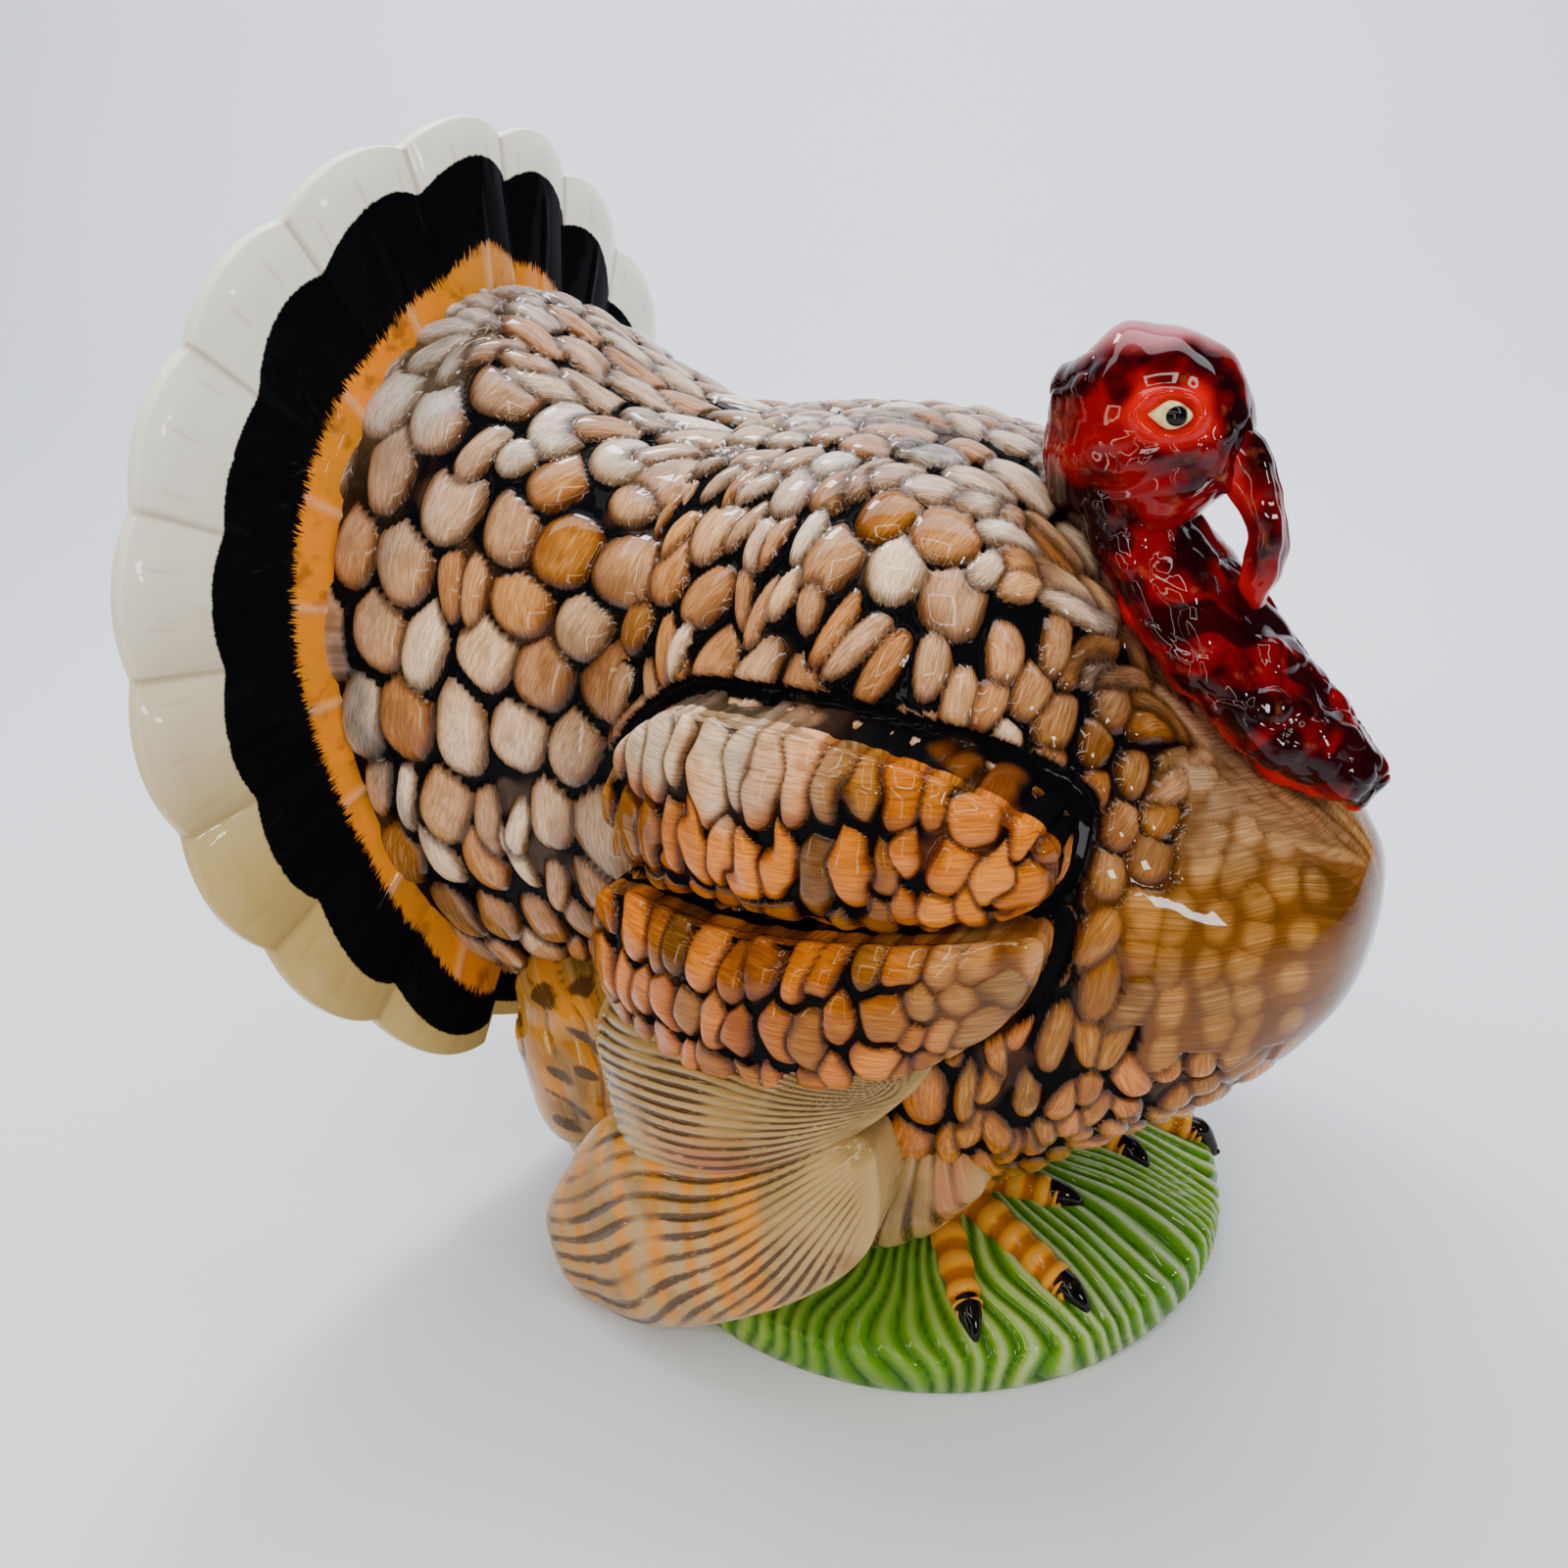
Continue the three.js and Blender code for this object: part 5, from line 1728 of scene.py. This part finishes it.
def knobs(skin: Skin, count: int, size: float, seed: int) -> Array:
    """Heights of soft round knobs strewn over a skin.

    Args:
        skin: The skin that they stand on.
        count: Number of knobs.
        size: Their radius.
        seed: Chooses where they stand.

    Returns:
        Heights from 0 to 1.
    """
    rng = np.random.default_rng(seed)
    normals = skin.normals()
    chosen = rng.choice(len(skin.points), count, replace=False)
    place, out = skin.points[chosen], normals[chosen]
    tip = unit(np.cross(out, rng.normal(size=(count, 3))))
    length = size * rng.uniform(0.7, 1.3, count)
    field = Feathers(place, tip, np.cross(out, tip), length, length * 0.8, depth=size, lift=0.0)
    inside = field.read(skin.points).inside
    return np.sqrt(np.clip(inside + 0.15, 0.0, 1.0))


@dataclass(frozen=True)
class Head:
    """The bare head, the wattled neck, the snood and the eyes."""

    body: BodyForm
    neck_half_width: float = 28.0
    neck_half_depth: float = 14.0
    rear: float = 38.57
    low: float = 208.76
    length: float = 48.0
    height: float = 52.5
    half_width: float = 20.0
    snood_half_width: float = 6.5
    snood_half_depth: float = 5.0
    eye: Triple = (0.72, 0.83, 0.69)
    lid_radius: float = 5.4
    lid_width: float = 1.3
    socket_radius: float = 4.0
    socket_depth: float = 1.2
    fold_depth: float = 0.45
    pupil_edge: tuple[float, float] = (2.3, 1.9)

    def build(self) -> list[Piece]:
        """Build the neck, head, snood and both eyes."""
        ruby = ruby_glaze()
        return [self._neck(ruby), self._head(ruby), self._snood(ruby), *self._eyes()]

    def _neck(self, ruby: Material) -> Piece:
        """Build the wattled neck.

        Args:
            ruby: The red glaze.

        Returns:
            The piece.
        """
        skin = Skin("Neck_wattle", 220, 190)
        along, up, wide, deep = np.array(NECK_SHARES).T
        x, z = self.body.point(along, up)
        stops = np.stack([x, 0 * x, z, wide * self.neck_half_width, deep * self.neck_half_depth], 1)
        swept(skin, stops)
        points = skin.points
        lumps = knobs(skin, 70, 7.0, 91)
        small = knobs(skin, 160, 3.2, 94)
        skin.carve(1.3 * (lumps - 1) + 0.4 * small + 0.8 * ripple(points, 12, 92) - 0.4)
        toward = np.sin(np.radians(skin.turn)) + 0.12 * ripple(points, 14, 93)
        edge = smoothstep(0.3, 0.6, toward) * smoothstep(212.0, 196.0, points[:, 2])
        pool = smoothstep(-0.15, 0.45, ripple(points, 15, 89)) * (1 - edge)
        skin.note("ink", np.clip(edge, 0, 1)).note("pool", pool)
        skin.paint(Tint.SCARLET.linear)
        return skin.finish(ruby, "wattle_glaze", "neck")

    def _at(self, along: Array, side: Array, up: Array) -> Array:
        """Points in the head's own box.

        Args:
            along: Shares of its length from the rear.
            side: Shares of its half width.
            up: Shares of its height.

        Returns:
            Points in millimetres.
        """
        return np.stack([
            self.rear + self.length * along, self.half_width * side, self.low + self.height * up,
        ], -1)

    def _head(self, ruby: Material) -> Piece:
        """Build the bare head with its eyelids, folds and warts.

        Args:
            ruby: The red glaze.

        Returns:
            The piece.
        """
        skin = Skin("Head_skin", 240, 200)
        share = (1 - np.cos(skin.fall * math.pi)) / 2
        width, top, bottom = read_table(HEAD_SHARES, share)
        turn = np.radians(skin.turn)
        up = (top + bottom) / 2 + (top - bottom) / 2 * np.sin(turn)
        skin.place(self._at(share, width * np.cos(turn), up))
        points = skin.points
        eye = self._at(*np.array(self.eye)[:, None])[0]
        x, y, z = points.T
        apart = np.stack([x - eye[0], np.abs(y) - eye[1], z - eye[2]], 1)
        near = np.linalg.norm(apart * np.array([0.75, 1.0, 1.2]), axis=1)
        socket = bell(near, 0.0, self.socket_radius) * self.socket_depth
        lid = bell(near, self.lid_radius, self.lid_width) - socket
        fold = np.sin((z - 0.3 * x + 1.2 * ripple(points, 14, 96)) / 1.3)
        below = smoothstep(eye[2] - 3, eye[2] - 7, z)
        below *= smoothstep(eye[2] - 24, eye[2] - 16, z)
        below *= smoothstep(17.0, 10.0, np.abs(x - eye[0] + 3))
        warts = knobs(skin, 130, 3.4, 97)
        rough = smoothstep(eye[2] + 2, eye[2] - 8, z) + smoothstep(62.0, 46.0, x)
        rough = np.clip(rough, 0, 1)
        folds = lid + self.fold_depth * fold * below
        skin.carve(folds + 0.5 * (warts - 1) * rough + 0.5 * ripple(points, 13, 95) - 0.8)
        glow = smoothstep(12.0, 5.0, near + 2 * ripple(points, 9, 98))
        up = (z - self.low) / self.height
        # Painted sheen: a rose band along the crown, where the glaze mirrors the bright room
        crown = smoothstep(0.9, 0.985, up + 0.02 * ripple(points, 16, 99))
        tone = blend(Tint.SCARLET.linear, Tint.ROSE_SHEEN.linear, crown)
        skin.note("ink", np.clip(np.maximum(glow * 0.9, 0.55 * crown), 0, 1)).paint(tone)
        skin.note("pool", 0.6 * smoothstep(0.0, 0.8, ripple(points, 15, 87)) * (1 - glow))
        return skin.finish(ruby, "wattle_glaze", "head")

    def _snood(self, ruby: Material) -> Piece:
        """Build the hooked snood.

        Args:
            ruby: The red glaze.

        Returns:
            The piece.
        """
        skin = Skin("Snood_skin", 110, 140)
        along, up, wide, deep = np.array(SNOOD_SHARES).T
        place = self._at(along, 0 * along, up)
        stops = np.column_stack([place, wide * self.snood_half_width, deep * self.snood_half_depth])
        swept(skin, stops)
        points = skin.points
        ridge = bell(np.abs(points[:, 1]), 3.2, 1.1)
        skin.carve(0.35 * ripple(points, 8, 97) + 0.5 * ridge - 0.8)
        inner = smoothstep(90.0, 84.0, points[:, 0] + 0.1 * (points[:, 2] - 220))
        skin.note("ink", np.clip(0.75 * inner + 0.3 * smoothstep(212.0, 203.0, points[:, 2]), 0, 1))
        skin.note("pool", 0.5 * smoothstep(0.1, 0.8, ripple(points, 14, 90)))
        skin.paint(Tint.SCARLET.linear)
        return skin.finish(ruby, "wattle_glaze", "snood")

    def _eyes(self) -> list[Piece]:
        """Build both eyes in the boxes of the model's eyes.

        Returns:
            The pieces.
        """
        glaze = Glaze("Eye_glaze", roughness=0.05)
        cloud = glaze.noise(glaze.place(), 300.0, 2.0)
        white = glaze.mix(glaze.step(cloud, 0.3, 0.7), Tint.BUTTER.rgba, Tint.PARCHMENT.rgba)
        pupil = glaze.step(glaze.attribute("pupil"), *self.pupil_edge)
        glaze.colour(glaze.mix(pupil, white, Tint.INK.rgba))
        glaze.rough(glaze.step(cloud, 0.2, 0.8, 0.2))
        glaze.bump(cloud, 0.0001, 0.4)
        pieces = []
        for side in ("right", "left"):
            low, high = (np.array(corner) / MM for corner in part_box(f"{side}_eye"))
            middle, half = (low + high) / 2, (high - low) / 2
            skin = Skin(f"{side}_eye_glass", 56, 36)
            ball = skin.points
            ahead = ball[:, 0]
            behind = 1 - 0.85 * np.abs(ahead) ** 1.4
            lens = np.where(ahead < 0, behind, 1 - 0.3 * ahead**2)
            shaped = ball * np.stack([np.ones(len(ball)), np.ones(len(ball)), lens], 1)
            skin.place(middle + shaped * half)
            offset = skin.points - (middle + np.array([2.0, 0, 0.2]))
            skin.note("pupil", np.hypot(offset[:, 0], offset[:, 2]))
            pieces.append(skin.finish(glaze.material, "eye_glaze", f"{side}_eye"))
        return pieces


@dataclass(frozen=True)
class GrassMound:
    """The oval mound of wavy grass with a flat underside and a drain hole."""

    half_length: float = 91.5
    half_width: float = 85.0
    edge_height: float = 16.0
    dome_height: float = 15.0
    hole_radius: float = 7.0
    hole_offset: float = 24.0
    hole_depth: float = 6.0
    blades: int = 92
    relief: float = 2.0
    floor_from: float = 0.8
    floor_share: float = 0.13
    hole_from: float = 0.93
    roof_from: float = 0.97
    roof_share: float = 0.03
    profile: Rows = (
        (0, 0, 1), (0.1, 0.2, 0.985), (0.22, 0.42, 0.91), (0.34, 0.64, 0.78), (0.46, 0.82, 0.63),
        (0.56, 0.93, 0.51), (0.62, 0.98, 0.42), (0.68, 1, 0.29), (0.74, 1, 0.13), (0.8, 0.975, 0),
    )

    def height(self, x: Array, y: Array) -> Array:
        """Height of the mound's smooth top.

        Args:
            x: Places along it.
            y: Places across it.

        Returns:
            Heights.
        """
        rows = [(radius, up) for _, radius, up in self.profile[:8]]
        share = np.hypot(x / self.half_length, y / self.half_width)
        return read_table(rows, share)[0] * (self.edge_height + self.dome_height)

    def build(self) -> Piece:
        """Build the mound with its grass and its drain hole.

        Returns:
            The piece.
        """
        skin = Skin("Grass_blades", 560, 170)
        turn = np.radians(skin.turn)
        radius, up = read_table(self.profile, skin.fall)
        oval = np.stack([self.half_length * np.cos(turn), self.half_width * np.sin(turn)], 1)
        outer = oval * radius[:, None]
        z = up * (self.edge_height + self.dome_height)
        hole = np.stack([
            self.hole_offset + self.hole_radius * np.cos(turn), self.hole_radius * np.sin(turn),
        ], 1)
        floor, bore = skin.fall > self.floor_from, skin.fall > self.hole_from
        under = np.clip((skin.fall - self.floor_from) / self.floor_share, 0, 1)
        close = np.clip((1 - skin.fall) / self.roof_share, 0, 1)
        flat = blend(oval * 0.975, hole, under)
        centre = np.array([self.hole_offset, 0.0])
        flat = np.where(bore[:, None], centre + (flat - centre) * close[:, None], flat)
        place = np.where(floor[:, None], flat, outer)
        rise = np.interp(skin.fall, [self.hole_from, self.roof_from, 1], [0, 1, 1])
        z = np.where(floor, rise * self.hole_depth, z)
        skin.place(np.column_stack([place, z]))
        ridge, tone = self._blades(skin.points, turn, radius)
        top = smoothstep(0.8, 0.74, skin.fall)
        skin.carve(-self.relief * (1 - ridge) * top)
        base = blend(Tint.MOSS.linear, Tint.GRASS.linear, smoothstep(0.05, 0.55, ridge))
        # Ivory on the ridges of the blades: the white clay where the glaze runs thin, and a painted
        # highlight that grows towards the right of the camera's view
        pale = smoothstep(-10.0, 60.0, skin.points[:, 0] + 0.5 * skin.points[:, 1])
        base = blend(base, Tint.LIME.linear, smoothstep(0.6, 0.9, ridge) * (0.25 + 0.5 * tone))
        base = blend(base, Tint.IVORY.linear, smoothstep(0.84, 1.0, ridge) * (0.05 + 0.4 * pale))
        rear = smoothstep(30.0, -70.0, skin.points[:, 0] - 0.3 * skin.points[:, 1])
        base = blend(base, Tint.LIME.linear * np.array([0.9, 1.0, 0.1]), 0.5 * rear)
        base = blend(base, Tint.IVORY.linear, smoothstep(0.8, 0.82, skin.fall))
        # Painted shade: the drain hole's bore and roof are dark so that it looks hollow
        base = blend(base, Tint.UMBER.linear, smoothstep(0.93, 0.95, skin.fall))
        skin.paint(base)
        material = simple_glaze("Grass_glaze", Tint.MOSS, Tint.GRASS, 90.0)
        return skin.finish(material, "grass_glaze", "grass_mound")

    def _blades(self, points: Array, turn: Array, radius: Array) -> tuple[Array, Array]:
        """Wavy blades that run out from the top.

        Args:
            points: Points of the mound.
            turn: Radians round it.
            radius: Shares of its outline.

        Returns:
            Ridge height of the blades from 0 to 1, and a tone for each of them.
        """
        bend = 0.07 * np.sin(radius * 6.5 + 3 * turn) + 0.05 * ripple(points, 30, 101)
        span = self.blades * (turn + bend * radius) / (2 * math.pi)
        across = rib(span)
        tone = 0.5 + 0.5 * np.sin(np.round(span) * 12.9898)
        ridge = np.clip(1 - np.abs(across) ** 1.7, 0, 1)
        return 0.15 + 0.85 * ridge, tone


@dataclass(frozen=True)
class Foot:
    """One foot: ankle, three scaly toes and their claws."""

    side: str
    mound: GrassMound
    reach: float
    spread: float = 24.0
    toe_length: float = 48.0
    toe_radius: float = 5.0
    ankle_radius: float = 9.0
    claw_length: float = 10.0
    scale_pitch: float = 1.05
    scale_height: float = 0.35
    angles: tuple[float, ...] = (-14.0, 18.0, 50.0)
    lengths: tuple[float, ...] = (0.82, 1.12, 1.0)
    taper: Rows = ((0, 0.9), (0.3, 1), (0.6, 0.92), (0.88, 0.86), (0.97, 0.7))

    def build(self, toes: Material, claws: Material) -> list[Piece]:
        """Build the foot and its three claws.

        Args:
            toes: Glaze of the toes.
            claws: Glaze of the claws.

        Returns:
            The pieces.
        """
        skins = [self._toe(toe) for toe in range(3)] + [self._ankle()]
        pieces = [self._joined(skins).finish(toes, "toe_glaze", f"{self.side}_foot")]
        for toe, name in enumerate(("inner", "middle", "outer")):
            skin = self._claw(toe)
            node = f"{self.side}_{name}_claw"
            skin.mesh.name = f"{node}_horn"
            pieces.append(skin.finish(claws, "claw_glaze", node))
        return pieces

    def _path(self, toe: int, share: Array) -> Array:
        """Line of a toe over the mound.

        Args:
            toe: Number of the toe.
            share: Shares of its length.

        Returns:
            Points in millimetres.
        """
        angle = math.radians(self.angles[toe])
        run = self.toe_length * self.lengths[toe] * share
        x, y = self.reach + math.cos(angle) * run, -self.spread - math.sin(angle) * run
        sign = 1.0 if self.side == "left" else -1.0
        return np.stack([x, sign * y, self.mound.height(x, y)], -1)

    def _toe(self, toe: int) -> Skin:
        """Build one toe with its scales.

        Args:
            toe: Number of the toe.

        Returns:
            Its skin.
        """
        skin = Skin(f"{self.side}_toe_{toe}", 40, 120)
        share, size = np.array(self.taper).T
        place = self._path(toe, share)
        stops = np.column_stack([place, size * self.toe_radius, size * self.toe_radius])
        along = swept(skin, stops, cap=0.06)
        rings = np.sin(along * self.toe_length * self.lengths[toe] / self.scale_pitch)
        skin.carve(self.scale_height * rings * smoothstep(0.05, 0.2, along))
        base = blend(Tint.RUST.linear, Tint.TOE.linear, smoothstep(-0.7, 0.5, rings))
        skin.paint(blend(base, Tint.BUTTER.linear, 0.35 * smoothstep(0.5, 1.0, rings)))
        return skin

    def _ankle(self) -> Skin:
        """Build the ankle, a ball where the toes meet.

        Returns:
            Its skin.
        """
        skin = Skin(f"{self.side}_ankle", 48, 32)
        skin.place(self._path(0, np.zeros(1)) + skin.points * self.ankle_radius)
        skin.paint(Tint.TOE.linear)
        return skin

    def _claw(self, toe: int) -> Skin:
        """Build the claw that caps a toe.

        Args:
            toe: Number of the toe.

        Returns:
            Its skin.
        """
        skin = Skin("claw", 32, 40)
        span = self.claw_length / (self.toe_length * self.lengths[toe])
        share = np.array([0.0, 0.4, 0.8, 1.0])
        size = np.array([0.72, 0.68, 0.42, 0.16])
        place = self._path(toe, 1 - span * (0.5 - share))
        place[:, 2] += self.toe_radius * np.array([0.1, 0.2, 0.1, -0.1])
        stops = np.column_stack([place, size * self.toe_radius, size * self.toe_radius])
        swept(skin, stops)
        skin.paint(Tint.INK.linear)
        return skin

    def _joined(self, skins: list[Skin]) -> Skin:
        """Join the toes and the ankle.

        Args:
            skins: Their skins.

        Returns:
            The first skin, with all of them in its mesh.
        """
        whole = bmesh.new()
        for skin in skins:
            skin.normals()
            whole.from_mesh(skin.mesh)
        result = skins[0]
        whole.to_mesh(result.mesh)
        whole.free()
        result.mesh.name = f"{self.side}_foot_scales"
        result.points = result._read() / MM
        return result


@dataclass(frozen=True)
class Softbox:
    """A square light: its place, aim, size, power and colour, and how bright its middle is."""

    name: str
    at: Triple
    to: Triple
    size: float
    power: float
    colour: Triple
    inner: float
    border: tuple[float, float] = (0.42, 0.43)
    brightest: float = 5.0


SOFTBOXES = (
    Softbox("Warm_frame", (-60, -620, 170), (0, 0, 120), 480, 1.5, (1.0, 0.88, 0.68), 0.0),
    Softbox("Cool_window", (-260, 120, 640), (-20, 0, 150), 120, 1.8, (0.9, 0.95, 1.0), 1.0),
    Softbox("Front_window", (600, -200, 330), (40, 0, 150), 90, 1.0, (0.95, 0.97, 1.0), 1.0),
    Softbox("Over_frame", (120, -330, 640), (0, 0, 130), 420, 1.8, (1.0, 0.95, 0.86), 0.0),
)


@dataclass(frozen=True)
class Studio:
    """Floor, camera and soft studio light."""

    camera_at: Triple = (168.64, -319.74, 318.78)
    azimuth_back: Triple = (0.4874, -0.7506, 0.4462)
    right: Triple = (0.8387, 0.5446, 0.0)
    up: Triple = (-0.2430, 0.3742, 0.8949)
    roll: float = -4.0
    lens: float = 34.065
    sweep_reach: float = 0.9
    sweep_radius: float = 0.6
    sweep_front: float = 2.4
    sweep_width: float = 1.9
    sweep_height: float = 2.2
    backdrop_power: float = 48.0
    backdrop_size: float = 1.6
    backdrop_at: Triple = (-0.2, 0.55, 1.5)
    backdrop_to: Triple = (-0.75, 1.5, 0.5)
    room_light: float = 0.5
    room_gloss: float = 0.04
    room_colour: tuple[float, float, float, float] = (0.9, 0.94, 1.0, 1.0)
    sensor: float = 36.0
    nearest: float = 0.01

    def build(self) -> None:
        """Set up everything around the object."""
        self._camera()
        self._sweep()
        self._world()
        for box in SOFTBOXES:
            self._frame_light(box)
        self._backdrop_light()

    def _camera(self) -> None:
        """Set the camera that stands where the photograph's did."""
        data = bpy.data.cameras.new("Photo_camera")
        data.lens = self.lens
        data.sensor_width = self.sensor
        data.clip_start = self.nearest
        eye = bpy.data.objects.new("Photo_camera", data)
        roll = math.radians(self.roll)
        right, up = Vector(self.right), Vector(self.up)
        across = right * math.cos(roll) + up * math.sin(roll)
        above = up * math.cos(roll) - right * math.sin(roll)
        back = Vector(self.azimuth_back)
        turn = Matrix((across, above, back)).transposed().to_4x4()
        eye.matrix_world = Matrix.Translation(Vector(self.camera_at) * MM) @ turn
        bpy.context.collection.objects.link(eye)
        bpy.context.scene.camera = eye

    def _sweep(self) -> None:
        """Pale paper that runs from under the object up behind it in one curve."""
        grid = bmesh.new()
        bmesh.ops.create_grid(grid, x_segments=12, y_segments=90, size=1.0)
        mesh = bpy.data.meshes.new("Paper_sweep")
        grid.to_mesh(mesh)
        grid.free()
        flat = np.empty(len(mesh.vertices) * 3)
        mesh.vertices.foreach_get("co", flat)
        across, along = flat.reshape(-1, 3)[:, :2].T
        quarter = self.sweep_radius * math.pi / 2
        run = (along + 1) / 2 * (self.sweep_front + self.sweep_reach + quarter + self.sweep_height)
        run -= self.sweep_front
        bend = np.clip((run - self.sweep_reach) / self.sweep_radius, 0, math.pi / 2)
        away = np.minimum(run, self.sweep_reach) + self.sweep_radius * np.sin(bend)
        rise = self.sweep_radius * (1 - np.cos(bend))
        rise += np.maximum(run - self.sweep_reach - quarter, 0)
        behind = -unit(np.array([self.azimuth_back[0], self.azimuth_back[1], 0.0]))
        points = np.outer(away, behind) + np.outer(across * self.sweep_width, self.right)
        points[:, 2] += rise
        mesh.vertices.foreach_set("co", points.ravel())
        mesh.shade_smooth()
        mesh.update()
        sweep = bpy.data.objects.new("Paper_sweep", mesh)
        bpy.context.collection.objects.link(sweep)
        paper = Glaze("Sweep_paper", roughness=0.6, coat=0.0)
        cloud = paper.noise(paper.place(), 3.0, 2.0)
        paper.colour(paper.mix(cloud, (0.74, 0.76, 0.81, 1.0), (0.79, 0.81, 0.85, 1.0)))
        mesh.materials.append(paper.material)

    def _backdrop_light(self) -> None:
        """A wide light behind the object that brightens the paper only."""
        data = bpy.data.lights.new("Backdrop_light", "AREA")
        data.energy, data.size = self.backdrop_power, self.backdrop_size
        data.color = (0.94, 0.97, 1.0)
        self._hang(data, Vector(self.backdrop_at), Vector(self.backdrop_to))

    @staticmethod
    def _hang(data: bpy.types.Light, at: Vector, to: Vector) -> None:
        """Hang a light and aim it.

        Args:
            data: The light.
            at: Its place in metres.
            to: Where it points, in metres.
        """
        light = bpy.data.objects.new(data.name, data)
        light.location = at
        aim = to - light.location
        light.rotation_euler = aim.to_track_quat("-Z", "Y").to_euler()
        bpy.context.collection.objects.link(light)

    def _world(self) -> None:
        """Light the room softly, and dimly where it is mirrored in the glaze."""
        world = bpy.data.worlds.new("Studio")
        world.use_nodes = True
        nodes = Nodes(world.node_tree)
        background = nodes.tree.nodes["Background"]
        glossy = nodes.node("LightPath", "Is Glossy Ray", {})
        inputs = {"Value": glossy, "To Min": self.room_light, "To Max": self.room_gloss}
        nodes.feed(background.inputs["Strength"], nodes.node("MapRange", 0, inputs))
        nodes.feed(background.inputs["Color"], self.room_colour)
        bpy.context.scene.world = world

    def _frame_light(self, box: Softbox) -> None:
        """Hang a softbox that is brighter round its edge, for looped highlights.

        Args:
            box: The softbox.
        """
        data = bpy.data.lights.new(box.name, "AREA")
        data.energy = box.power
        data.size = box.size * MM
        data.color = box.colour
        data.use_nodes = True
        nodes = Nodes(data.node_tree)
        place = nodes.node("NewGeometry", "Parametric", {})
        sides = [nodes.node("SeparateXYZ", axis, {0: place}) for axis in (0, 1)]
        edges = [nodes.math("ABSOLUTE", nodes.math("SUBTRACT", side, 0.5)) for side in sides]
        inputs = {
            "Value": nodes.math("MAXIMUM", *edges),
            "From Min": box.border[0],
            "From Max": box.border[1],
            "To Min": box.inner,
            "To Max": box.brightest - (box.brightest - 1) * box.inner,
        }
        glow = nodes.tree.nodes["Emission"].inputs["Strength"]
        nodes.feed(glow, nodes.node("MapRange", 0, inputs))
        self._hang(data, Vector(box.at) * MM, Vector(box.to) * MM)


def main() -> None:
    """Build the figure and its studio, piece by piece."""
    logging.basicConfig(level=logging.INFO, format="%(name)s %(message)s")
    body, fan, mound = BodyForm(), FanForm(), GrassMound()
    mound.build()
    Plumage(body, fan).build()
    TailFan(fan).build()
    quills = rib_glaze("Quill_glaze")
    Undertail(body).build(quills)
    amber = plumage_glaze("Wing_glaze", patch=0.75, worn=0.5, pallor=0.12)
    toes = simple_glaze("Toe_glaze", Tint.TOE, Tint.AMBER, 200.0)
    claws = simple_glaze("Claw_glaze", Tint.INK, Tint.UMBER, 200.0)
    for side, reach in (("right", 26.0), ("left", 16.0)):
        Wing(side, body).build(amber, quills)
        Foot(side, mound, reach).build(toes, claws)
    Head(body).build()
    Studio().build()


if __name__ == "__main__":
    main()
